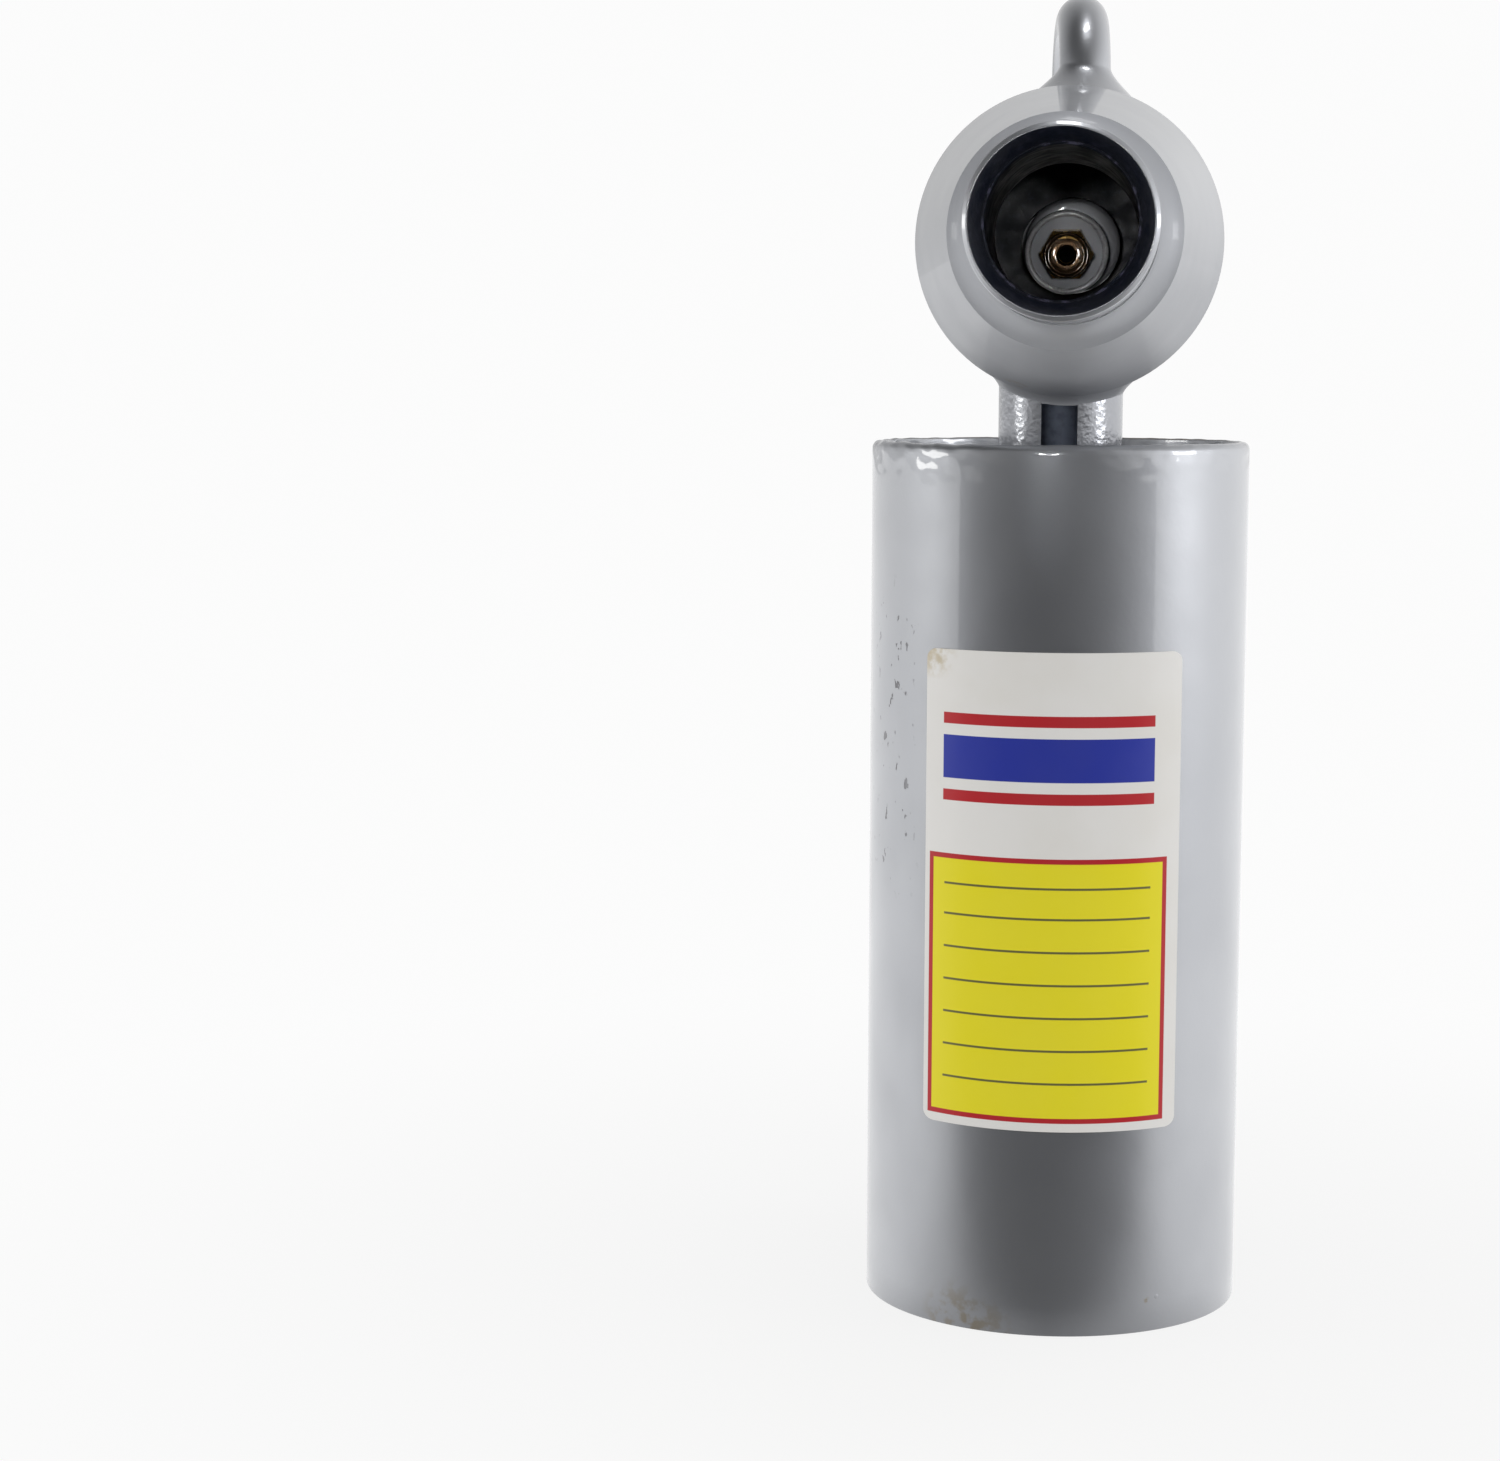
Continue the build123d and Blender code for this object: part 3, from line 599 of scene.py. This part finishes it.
# Sticker: white film with a plain striped banner and a yellow panel, ruled and framed in red. Its places and
# widths are in millimetres, across from the middle of the tank's front and up from its foot
labelLook = {
    "film": (0.88, 0.865, 0.84),
    "aged": (0.85, 0.83, 0.79),
    "red": (0.52, 0.012, 0.02),
    "blue": (0.018, 0.035, 0.38),
    "yellow": (0.90, 0.80, 0.010),
    "ink": (0.03, 0.035, 0.05),
    "stain": (0.55, 0.45, 0.27),
    "middle": -0.9,
    "blur": 0.12,
    "panelHalfWidth": 24.7,
    "panelLow": 42.9,
    "panelHigh": 95.1,
    "frameWidth": 1.0,
    "rules": (50.5, 57.0, 63.5, 70.0, 76.5, 83.0, 89.0),
    "ruleHalfWidth": 21.0,
    "ruleThickness": 0.45,
    "stripes": (("blue", 110.0, 118.5), ("red", 105.6, 107.8), ("red", 120.7, 122.9)),
    "stripeHalfWidth": 21.5,
    "yellowing": (45, 3.0, 0.4, 0.75),
    "inkStrength": 0.85,
    "stainAngle": -0.66,
    "stainHeight": 134.5,
    "stainReach": 1.5,
    "stainBlur": 5,
    "stainStrength": 0.75,
    "stained": (330, 4.0, 0.4, 0.62),
    "dulled": (80, 2.0),
    "roughness": (0.30, 0.42),
    "wave": (110, 1.5, 0.05 * mm),
    "grain": (1800, 1.0, 0.004 * mm),
}


def stickerFilm(name):
    look = labelLook
    halfBlur = look["blur"] / 2

    def wire(finish):
        x, y, z = finish.parts(finish.place())
        side = abs(finish.maths("ARCTAN2", x, -y) * tankRadius - look["middle"] * mm)

        def patch(halfWidth, low, high):
            inWidth = finish.ramp(side, (halfWidth - halfBlur) * mm, (halfWidth + halfBlur) * mm, 1.0, 0.0)
            return inWidth * finish.between(z, low * mm, high * mm, look["blur"] * mm)

        colour = finish.mix(finish.patches(*look["yellowing"]), look["film"], look["aged"])
        for paint, low, high in look["stripes"]:
            colour = finish.mix(patch(look["stripeHalfWidth"], low, high), colour, look[paint])
        width, low, high = look["panelHalfWidth"], look["panelLow"], look["panelHigh"]
        edge = look["frameWidth"]
        colour = finish.mix(patch(width, low, high), colour, look["red"])
        colour = finish.mix(patch(width - edge, low + edge, high - edge), colour, look["yellow"])
        for rule in look["rules"]:
            line = patch(look["ruleHalfWidth"], rule, rule + look["ruleThickness"])
            colour = finish.mix(line * look["inkStrength"], colour, look["ink"])
        angle = look["stainAngle"]
        corner = (tankRadius * sin(angle), -tankRadius * cos(angle), look["stainHeight"] * mm)
        stain = finish.near(corner, look["stainReach"] * mm, look["stainBlur"] * mm)
        stain = stain * finish.patches(*look["stained"])
        colour = finish.mix(stain * look["stainStrength"], colour, look["stain"])
        return {
            "Base Color": colour,
            "Roughness": finish.ramp(finish.cloud(*look["dulled"]), 0.3, 0.7, *look["roughness"]),
            "Normal": finish.bump(finish.relief(*look["wave"]) + finish.relief(*look["grain"])),
        }

    finished(name, wire)


# The weathered strip down the left of the tank: its sides as shares of the radius, the rest in millimetres
pitStrip = {
    "left": -0.93,
    "right": -0.74,
    "sideBlur": 5,
    "low": 88,
    "high": 144,
    "endBlur": 14,
}


def tankPits(finish):
    look = pitStrip
    x, y, z = finish.parts(finish.place())
    strip = finish.between(x, look["left"] * tankRadius, look["right"] * tankRadius, look["sideBlur"] * mm)
    return strip * finish.between(z, look["low"] * mm, look["high"] * mm, look["endBlur"] * mm)


# Stains: each has its point, reach and blur in millimetres, and its strength
tankStains = [
    ((-18, -33.5, 1.5), 3, 6, 0.5),
    ((-12, -36, 1.0), 2, 5, 0.45),
    ((20, -32.3, 6.5), 0.3, 0.6, 1.2),
]
bellStains = [((-8.5, -24, 186), 0.8, 2.5, 0.6)]
valveStains = [
    ((2.1, 5.7, 208.4), 0.45, 0.25, 4.0),
    ((1.9, 5.9, 207.0), 0.15, 0.35, 3.0),
    ((2.2, 6.0, 205.9), 0.12, 0.30, 3.0),
]
valveFrame = (valvePoint, valveDirection)
fillerFrame = (fillerPoint, fillerDirection)
upright = (Vector((0, 0, 0)), Vector((0, 0, 1)))
# the radius of the jet's bore, which is painted black as shade
boreShadeRadius = 1.65 * mm
enamel("tankEnamel", stains=tankStains, pits=tankPits)
enamel("bodyEnamel", metallic=0.62, dull=1.15, underside=(0.25, 0.05), stains=bellStains)
enamel("pipeEnamel", metallic=0.88, dull=0.85)
enamel("collarEnamel", metallic=0.45, coat=0.12, dull=1.3)
enamel("neckEnamel", metallic=0.55, coat=0.0, dull=0.45, peel=5.0)
enamel("valveEnamel", metallic=0.3, stains=valveStains)
twoSidedPaint("tubePaint", tubeRadius - 0.85 * mm, 0.2 * mm)
# The inner paints' dark colour is part heat-darkening, part painted shade for the inside of the burner
innerPaint("innerPaint", 0.3)
# The mouth's edge ring takes a much lighter copy of the inner paint: a painted highlight
innerPaint("edgeHighlightPaint", 2.5)
innerPaint("linerPaint", 0.2)
turnedMetal("turnedBrass", "turnedBrass", *fillerFrame)
turnedMetal("glandBrass", "turnedBrass", *valveFrame)
turnedMetal("jetBrass", "brownBrass", *valveFrame, boreRadius=boreShadeRadius)
turnedMetal("domeBrass", "shadedDomeBrass", *valveFrame, boreRadius=boreShadeRadius)
turnedMetal("dullCopper", "dullCopper", *valveFrame)
turnedMetal("spindleSteel", "platedSteel", *valveFrame)
turnedMetal("reliefSteel", "platedSteel", *fillerFrame)
turnedMetal("slotShadeSteel", "slotShadeSteel", *upright)
turnedMetal("highlightEdge", "highlightEdge", *valveFrame)
phenolic("phenolic")
rubber("rubber")
cordage("packing", *valveFrame)
cordage("cotton", *upright)
stickerFilm("sticker")
nodeFinishes = {
    "tankEnamel": ["tank_shell", "tank_bottom_plate", "tank_top_plate", "filler_bung"],
    "collarEnamel": ["tube_collar"],
    "bodyEnamel": ["drum_shell", "front_cone"],
    "pipeEnamel": ["vapour_pipe", "front_pipe_boss", "rear_pipe_boss"],
    "valveEnamel": ["valve_body"],
    "neckEnamel": ["neck_sleeve"],
    "tubePaint": ["flame_tube"],
    "innerPaint": ["rear_plate", "jacket_front_ring"],
    "linerPaint": ["jacket_liner"],
    "slotShadeSteel": ["riser_pipe"],
    "turnedBrass": ["filler_cap", "relief_screw"],
    "glandBrass": ["gland_nut"],
    "jetBrass": ["jet"],
    "dullCopper": ["jet_washer"],
    "spindleSteel": ["valve_needle", "valve_spindle", "wheel_washer", "wheel_nut"],
    "reliefSteel": ["relief_seat", "relief_spring"],
    "phenolic": ["handwheel"],
    "rubber": ["filler_gasket", "relief_pad"],
    "packing": ["gland_packing"],
    "cotton": ["wick"],
    "sticker": ["label"],
}
for finishName, names in nodeFinishes.items():
    for nodeName in names:
        nodes[nodeName].data.materials.clear()
        nodes[nodeName].data.materials.append(materials[finishName])
print("materials are on", sum(len(names) for names in nodeFinishes.values()), "nodes")


# Modelling helpers: a ring stack is a lathe-turned form made ring by ring, closed where its ends meet
mergeDistance = 0.0005 * mm
smoothAngle = radians(50)


def pick(piece=None):
    # selects the piece alone, or nothing
    bpy.ops.object.select_all(action="DESELECT")
    if piece:
        piece.select_set(True)
        bpy.context.view_layer.objects.active = piece


def editMesh(action):
    bpy.ops.object.mode_set(mode="EDIT")
    action()
    bpy.ops.object.mode_set(mode="OBJECT")


def ringStack(name, rings, segments):
    # rings: radius and height in millimetres, from the first ring round the outside and back to it
    pick()
    radius, height = rings[0]
    bpy.ops.mesh.primitive_circle_add(vertices=segments, radius=radius * mm, location=(0, 0, 0))
    piece = bpy.context.object
    piece.name = name
    bpy.ops.object.mode_set(mode="EDIT")
    bpy.ops.transform.translate(value=(0, 0, height * mm))
    for nextRadius, nextHeight in rings[1:] + rings[:1]:
        rise = (0, 0, (nextHeight - height) * mm)
        bpy.ops.mesh.extrude_region_move(TRANSFORM_OT_translate={"value": rise})
        share = nextRadius / radius
        bpy.ops.transform.resize(value=(share, share, 1), center_override=(0, 0, nextHeight * mm))
        radius, height = nextRadius, nextHeight
    bpy.ops.mesh.select_all(action="SELECT")
    bpy.ops.mesh.remove_doubles(threshold=mergeDistance)
    bpy.ops.mesh.normals_make_consistent(inside=False)
    bpy.ops.object.mode_set(mode="OBJECT")
    return piece


def applyModifier(piece, kind, **settings):
    pick(piece)
    modifier = piece.modifiers.new(kind.title(), kind)
    for name, value in settings.items():
        setattr(modifier, name, value)
    bpy.ops.object.modifier_apply(modifier=modifier.name)


def displace(piece, scale, strength, **settings):
    # pushes the surface in and out by a cloud of lumps
    texture = bpy.data.textures.new(piece.name, "CLOUDS")
    texture.noise_scale = scale
    texture.noise_depth = 1
    applyModifier(piece, "DISPLACE", texture=texture, texture_coords="LOCAL", strength=strength, **settings)


def aimed(piece, origin, direction):
    # stands the piece on a point, with its own z along the direction, and puts its place in its mesh
    pick(piece)
    piece.location = origin
    piece.rotation_euler = facing(direction)
    bpy.ops.object.transform_apply(location=True, rotation=True, scale=True)


def finishPiece(piece, material, body):
    piece.data.materials.append(materials[material])
    pick(piece)
    bpy.ops.object.shade_smooth_by_angle(angle=smoothAngle)
    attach(piece, body)


# Tank shell: the rolled rim with its thick uneven paint, heaviest at the front left; wall and rounds are in
# millimetres
rimLook = {
    "wall": 2.0,
    "footRound": 0.35,
    "outerRound": 1.5,
    "innerRound": 0.45,
    "wallRings": (6, 30, 60, 90, 120, 145, 158, 163),
    "fineRings": 17,
    "fineStart": 10,
    "fineStep": 0.5,
    "innerRings": (1.0, 1.6, 2.4, 3.4, 5.0, 8.0),
    "outerSteps": 9,
    "innerSteps": 6,
    "lumpScale": 3.6 * mm,
    "lumpHeight": 0.85 * mm,
    "lumpMiddle": 0.62,
    "reach": 9 * mm,
    "calm": 0.34,
    "leftStart": 0.30,
    "leftBlur": 0.35,
    "segments": 288,
}


def rimShare(point, look):
    # how much of the lumps' height a point takes: none below the rim's reach, all of it at the front left
    low = max(0.0, min(1.0, (point.z - tankTop + look["reach"]) / look["reach"]))
    left = max(0.0, min(1.0, (-point.x / tankRadius - look["leftStart"]) / look["leftBlur"]))
    front = max(0.0, min(1.0, 0.5 - point.y / tankRadius))
    return low ** 2 * (look["calm"] + (1 - look["calm"]) * left * front)


def makeTankShell(look):
    outer, top = tankRadius / mm, tankTop / mm
    inner = outer - look["wall"]
    big, small, foot = look["outerRound"], look["innerRound"], look["footRound"]
    rings = [(inner, 0.0), (outer - foot, 0.0), (outer - 0.1, 0.1), (outer, foot)]
    rings += [(outer, height) for height in look["wallRings"]]
    fine = top - look["fineStart"]
    rings += [(outer, fine + look["fineStep"] * step) for step in range(look["fineRings"])]
    for step in range(1, look["outerSteps"] + 1):
        turn = pi / 2 * step / look["outerSteps"]
        rings.append((outer - big * (1 - cos(turn)), top - big * (1 - sin(turn))))
    for step in range(1, look["innerSteps"] + 1):
        turn = pi / 2 * step / look["innerSteps"]
        rings.append((inner + small * (1 - sin(turn)), top - small * (1 - cos(turn))))
    rings += [(inner, top - drop) for drop in look["innerRings"]]
    shell = ringStack("tankShell", rings, look["segments"])
    group = shell.vertex_groups.new(name="rim")
    for vertex in shell.data.vertices:
        group.add([vertex.index], rimShare(vertex.co, look), "REPLACE")
    displace(shell, look["lumpScale"], look["lumpHeight"], mid_level=look["lumpMiddle"], vertex_group="rim")
    finishPiece(shell, "tankEnamel", "lamp")
    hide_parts("tank_shell")


makeTankShell(rimLook)


# Weld fillets: smooth painted skirts that join a pipe or bung to the round body it stands on, in millimetres
burnerBarrel = {"middle": drumMiddle, "axis": (0, 1, 0), "radius": drumRadius}
tankBarrel = {"middle": Vector((0, 0, 0.1)), "axis": (0, 0, 1), "radius": tankRadius}
filletLooks = {
    "pipeFillet": {
        "origin": (4.0 * mm, -3.0 * mm, drumMiddle.z),
        "direction": (0, 0, 1),
        "barrel": burnerBarrel,
        "pipe": 5.1,
        "flare": 6.7,
        "height": 5.4,
        "power": 1.55,
        "material": "pipeEnamel",
        "replaces": ["front_pipe_boss"],
    },
    "neckFillet": {
        "origin": (0, 0, drumMiddle.z),
        "direction": (0, 0, -1),
        "barrel": burnerBarrel,
        "pipe": 12.5,
        "flare": 2.2,
        "height": 1.9,
        "power": 2.0,
        "material": "bodyEnamel",
        "replaces": [],
    },
    "bungFillet": {
        "origin": fillerPoint,
        "direction": fillerDirection,
        "barrel": tankBarrel,
        "pipe": 11.0,
        "flare": 2.0,
        "height": 1.8,
        "power": 2.0,
        "material": "bodyEnamel",
        "replaces": [],
    },
}
filletBuild = {
    "steps": 14,
    "segments": 96,
    "start": 90.0,
    "overlap": 0.03,
    "sunk": -0.25,
    "ringTolerance": 0.004,
    "formerSegments": 512,
    "formerLength": 0.4,
}


def filletOutline(look):
    # radius and height above the barrel: down the flare to its foot, back under the skin and up in the pipe
    pipe, sunk = look["pipe"], filletBuild["sunk"]
    outline = []
    for step in range(filletBuild["steps"] + 1):
        share = step / filletBuild["steps"]
        radius = pipe - filletBuild["overlap"] + look["flare"] * share ** look["power"]
        outline.append((radius, look["height"] * (1 - share)))
    foot = outline[-1][0]
    return outline + [(foot - 0.05, sunk), (pipe - 0.2, sunk), (pipe - 0.25, look["height"] - 0.1)]


def makeFillet(name, look):
    # flat rings are dropped on a plain barrel, then each ring is raised to its height on the fillet
    outline = filletOutline(look)
    flat = [(radius, filletBuild["start"]) for radius, height in outline]
    fillet = ringStack(name, flat, filletBuild["segments"])
    fillet.location = look["origin"]
    fillet.rotation_euler = facing(look["direction"])
    barrel = look["barrel"]
    pick()
    bpy.ops.mesh.primitive_cylinder_add(vertices=filletBuild["formerSegments"], radius=barrel["radius"],
                                        depth=filletBuild["formerLength"], location=barrel["middle"])
    former = bpy.context.object
    former.rotation_euler = facing(barrel["axis"])
    bpy.context.view_layer.update()
    applyModifier(fillet, "SHRINKWRAP", target=former, wrap_method="PROJECT", use_project_z=True,
                  use_negative_direction=True, use_positive_direction=False)
    bpy.data.objects.remove(former)
    for radius, height in outline:
        editMesh(lambda: bpy.ops.mesh.select_all(action="DESELECT"))
        for vertex in fillet.data.vertices:
            vertex.select = abs(vertex.co.xy.length / mm - radius) < filletBuild["ringTolerance"]
        editMesh(lambda: bpy.ops.transform.translate(value=(0, 0, height * mm), orient_type="LOCAL"))
    aimed(fillet, look["origin"], look["direction"])
    finishPiece(fillet, look["material"], "lamp")
    if look["replaces"]:
        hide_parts(*look["replaces"])


for filletName, filletLook in filletLooks.items():
    makeFillet(filletName, filletLook)


# Lathe-turned details: the jet's domed front, the edge and foot of its boss, the edge inside the mouth, and
# the flame tube itself, for its chamfered lip; the tube is turned down where the collar and cone hold it
valveCentre = Vector((0.7, 14.0, 214.1)) * mm
turnedSegments = 96


def alongValve(station):
    # a point on the valve's axis, at a distance in millimetres from where it crosses the burner's middle
    return valveCentre + valveDirection * (station * mm)


tubeEnd = -boxSize("flame_tube").y / mm
collarFront = 0.1 - (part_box("tube_collar")[0].y - lipY) / mm
spigotRadius = tubeRadius / mm - 0.3
turnedLooks = {
    "jetDome": {
        "rings": [(4.60, -0.8), (4.66, 0.0), (4.60, 0.20), (4.42, 0.33), (4.15, 0.33), (3.90, 0.18),
                  (3.72, 0.04)]
                 + [(radius, 0.16 - (radius - 2.15) ** 2 / 18) for radius in (3.5, 3.2, 2.9, 2.6, 2.3, 2.05)]
                 + [(1.90, 0.11), (1.78, -0.06), (1.69, -0.35), (1.62, -0.80), (2.2, -0.8)],
        "origin": alongValve(-14.3),
        "direction": (0.012, -1, -0.03),
        "material": "domeBrass",
        "slot": "brass",
    },
    "jetBossEdge": {
        "rings": [(7.2, -0.3), (7.28, 0.08), (7.55, 0.38), (7.95, 0.46), (8.32, 0.28), (8.46, -0.1),
                  (8.38, -0.5)],
        "origin": alongValve(-9.0),
        "direction": -valveDirection,
        "material": "highlightEdge",
        "slot": "grey_enamel",
    },
    "jetBossFoot": {
        "rings": [(6.9, 1.0), (8.8, 1.0), (9.3, 0.8), (9.6, 0.3), (9.65, -0.4), (9.65, -2.4), (9.2, -3.0),
                  (6.9, -3.0)],
        "origin": alongValve(-4.0) + Vector((1.1, 0, 0.8)) * mm,
        "direction": -valveDirection,
        "material": "valveEnamel",
        "slot": "grey_enamel",
    },
    "mouthEdge": {
        "rings": [(13.55, -0.3), (13.3, -0.28), (13.12, 0.0), (13.15, 0.3), (13.4, 0.5), (13.75, 0.3)],
        "origin": (drumMiddle.x, lipY + 5.4 * mm, drumMiddle.z),
        "direction": (0, -1, 0),
        "material": "edgeHighlightPaint",
        "slot": "grey_enamel",
    },
    "flameTube": {
        "rings": [(spigotRadius, tubeEnd), (spigotRadius, collarFront), (16.75, collarFront), (16.75, -20.0),
                  (16.75, -6.0), (16.75, -0.95), (16.73, -0.74), (16.66, -0.62), (16.62, -0.585),
                  (16.09, -0.12), (16.05, -0.085), (15.93, -0.01), (15.80, -0.02), (15.62, -0.20),
                  (13.50, -5.30), (13.40, -5.55), (13.40, -20.0), (13.40, -40.0), (13.40, tubeEnd)],
        "origin": mouth,
        "direction": (0, -1, 0),
        "material": "tubePaint",
        "slot": "grey_enamel",
    },
}
for turnedName, turnedLook in turnedLooks.items():
    turned = ringStack(turnedName, turnedLook["rings"], turnedSegments)
    aimed(turned, turnedLook["origin"], turnedLook["direction"])
    finishPiece(turned, turnedLook["material"], "lamp")
    if turnedName == "flameTube":
        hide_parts("flame_tube")


# Weld beads: rings of uneven painted weld round the seams of the burner's back, the neck's foot and the tray
beadLooks = {
    "rearPlateBead": {
        "origin": (drumMiddle.x, drumRear, drumMiddle.z),
        "direction": (0, 1, 0),
        "radius": 27.95 * mm,
        "thickness": 0.95 * mm,
    },
    "valveBead": {
        "origin": (0.7 * mm, drumRear + 0.3 * mm, 215.0 * mm),
        "direction": (0, 1, 0),
        "radius": 10.75 * mm,
        "thickness": 1.0 * mm,
    },
    "neckBead": {
        "origin": (0, 0, trayTop + 0.2 * mm),
        "direction": (0, 0, 1),
        "radius": 12.75 * mm,
        "thickness": 1.0 * mm,
    },
    "traySeam": {
        "origin": (0, 0, trayTop + 0.1 * mm),
        "direction": (0, 0, 1),
        "radius": 35.95 * mm,
        "thickness": 0.8 * mm,
    },
}
beadBuild = {"segments": 220, "tubeSegments": 14, "rippleScale": 2.2 * mm, "rippleHeight": 0.55 * mm}
slotGap = {"width": 7.6 * mm, "depth": 6 * mm, "height": 6 * mm}


def makeBead(name, look):
    pick()
    bpy.ops.mesh.primitive_torus_add(major_radius=look["radius"], minor_radius=look["thickness"],
                                     major_segments=beadBuild["segments"],
                                     minor_segments=beadBuild["tubeSegments"])
    bead = bpy.context.object
    bead.name = name
    displace(bead, beadBuild["rippleScale"], beadBuild["rippleHeight"], mid_level=0.5)
    aimed(bead, look["origin"], look["direction"])
    if name == "neckBead":
        cutSlot(bead, look)
    finishPiece(bead, "bodyEnamel", "lamp")


def cutSlot(bead, look):
    # the slot in the neck's front stays open down to the tray
    pick()
    bpy.ops.mesh.primitive_cube_add(size=1, location=(0, -look["radius"], look["origin"][2]))
    cutter = bpy.context.object
    cutter.scale = (slotGap["width"], slotGap["depth"], slotGap["height"])
    bpy.context.view_layer.update()
    applyModifier(bead, "BOOLEAN", object=cutter, operation="DIFFERENCE", solver="EXACT")
    bpy.data.objects.remove(cutter)


for beadName, beadLook in beadLooks.items():
    makeBead(beadName, beadLook)
print("rim, fillets, details and beads are modelled")


# Floor and world: a white table in a light tent, which gloss shows as dark on the camera's side
stageLook = {
    "floorSize": 12.0,
    "floorDrop": 0.02 * mm,
    "floorColour": (0.78, 0.78, 0.775),
    "unlit": (0.10, 0.10, 0.105),
    "unlitEnd": -0.06,
    "tableStart": 0.03,
    "sideShare": 0.55,
    "glowNear": 0.86,
    "fadeStart": 0.04,
    "fadeEnd": 0.32,
    "white": 0.97,
    "sheen": 1.22,
    "frontLight": 0.77,
    "backLight": 0.62,
    "dimShine": 0.02,
    "tentShine": 1.0,
    "dimEnd": -1.0,
    "tentStart": -0.56,
    "rightGain": 0.42,
    "topLoss": 0.95,
    "topGain": 0.55,
    "backStart": 0.4,
    "backLoss": 0.10,
    "leastShine": 0.03,
}


def makeFloor(look):
    pick()
    bpy.ops.mesh.primitive_plane_add(size=look["floorSize"], location=(0, 0, -look["floorDrop"]))
    floor = bpy.context.object
    floor.name = "studioFloor"
    material = bpy.data.materials.new("studioFloor")
    finish = Finish(material)
    seen = finish.rays("Camera")
    mirrored = finish.rays("Glossy")
    x, y, z = finish.parts(finish.place())
    depth = y + abs(x) * look["sideShare"]
    front = finish.ramp(depth, look["unlitEnd"], look["tableStart"], 1.0, 0.0) * mirrored
    tone = finish.mix(front, look["floorColour"], look["unlit"])
    paper = finish.node("ShaderNodeBsdfDiffuse", sockets={"Color": tone})
    paperWhite = finish.mix(mirrored, (look["white"],) * 3, (look["sheen"],) * 3)
    white = finish.node("ShaderNodeEmission", sockets={"Color": paperWhite, "Strength": 1.0})
    shown = seen + mirrored * (1 - front)
    glow = finish.ramp(finish.away(x, y), look["fadeStart"], look["fadeEnd"], look["glowNear"], 1.0) * shown
    surface = finish.node("ShaderNodeMixShader", sockets={0: glow, 1: paper, 2: white})
    finish.node("ShaderNodeOutputMaterial", sockets={"Surface": surface})
    floor.data.materials.append(material)


def makeWorld(look):
    world = bpy.data.worlds.new("lightTent")
    bpy.context.scene.world = world
    finish = Finish(world)
    seen = finish.rays("Camera")
    mirrored = finish.maths("MAXIMUM", finish.rays("Glossy"), finish.rays("Transmission"))
    x, y, z = finish.parts(finish.node("ShaderNodeTexCoord", output="Generated"))
    above = finish.maths("MAXIMUM", z, 0.0) * (look["topLoss"] - y * look["topGain"])
    behind = finish.ramp(y, look["backStart"], 1.0, 0.0, look["backLoss"])
    side = finish.maths("MAXIMUM", x * look["rightGain"] + 1 - above - behind, look["leastShine"])
    light = finish.ramp(y, -1.0, 1.0, look["frontLight"], look["backLight"])
    shine = finish.ramp(y, look["dimEnd"], look["tentStart"], look["dimShine"], look["tentShine"]) * side
    level = light * (1 - mirrored) * (1 - seen) + shine * mirrored + look["white"] * seen
    shade = finish.node("ShaderNodeBackground", sockets={"Color": (1.0, 1.0, 1.0), "Strength": level})
    finish.node("ShaderNodeOutputWorld", sockets={"Surface": shade})


makeFloor(stageLook)
makeWorld(stageLook)
print("floor and world are set")
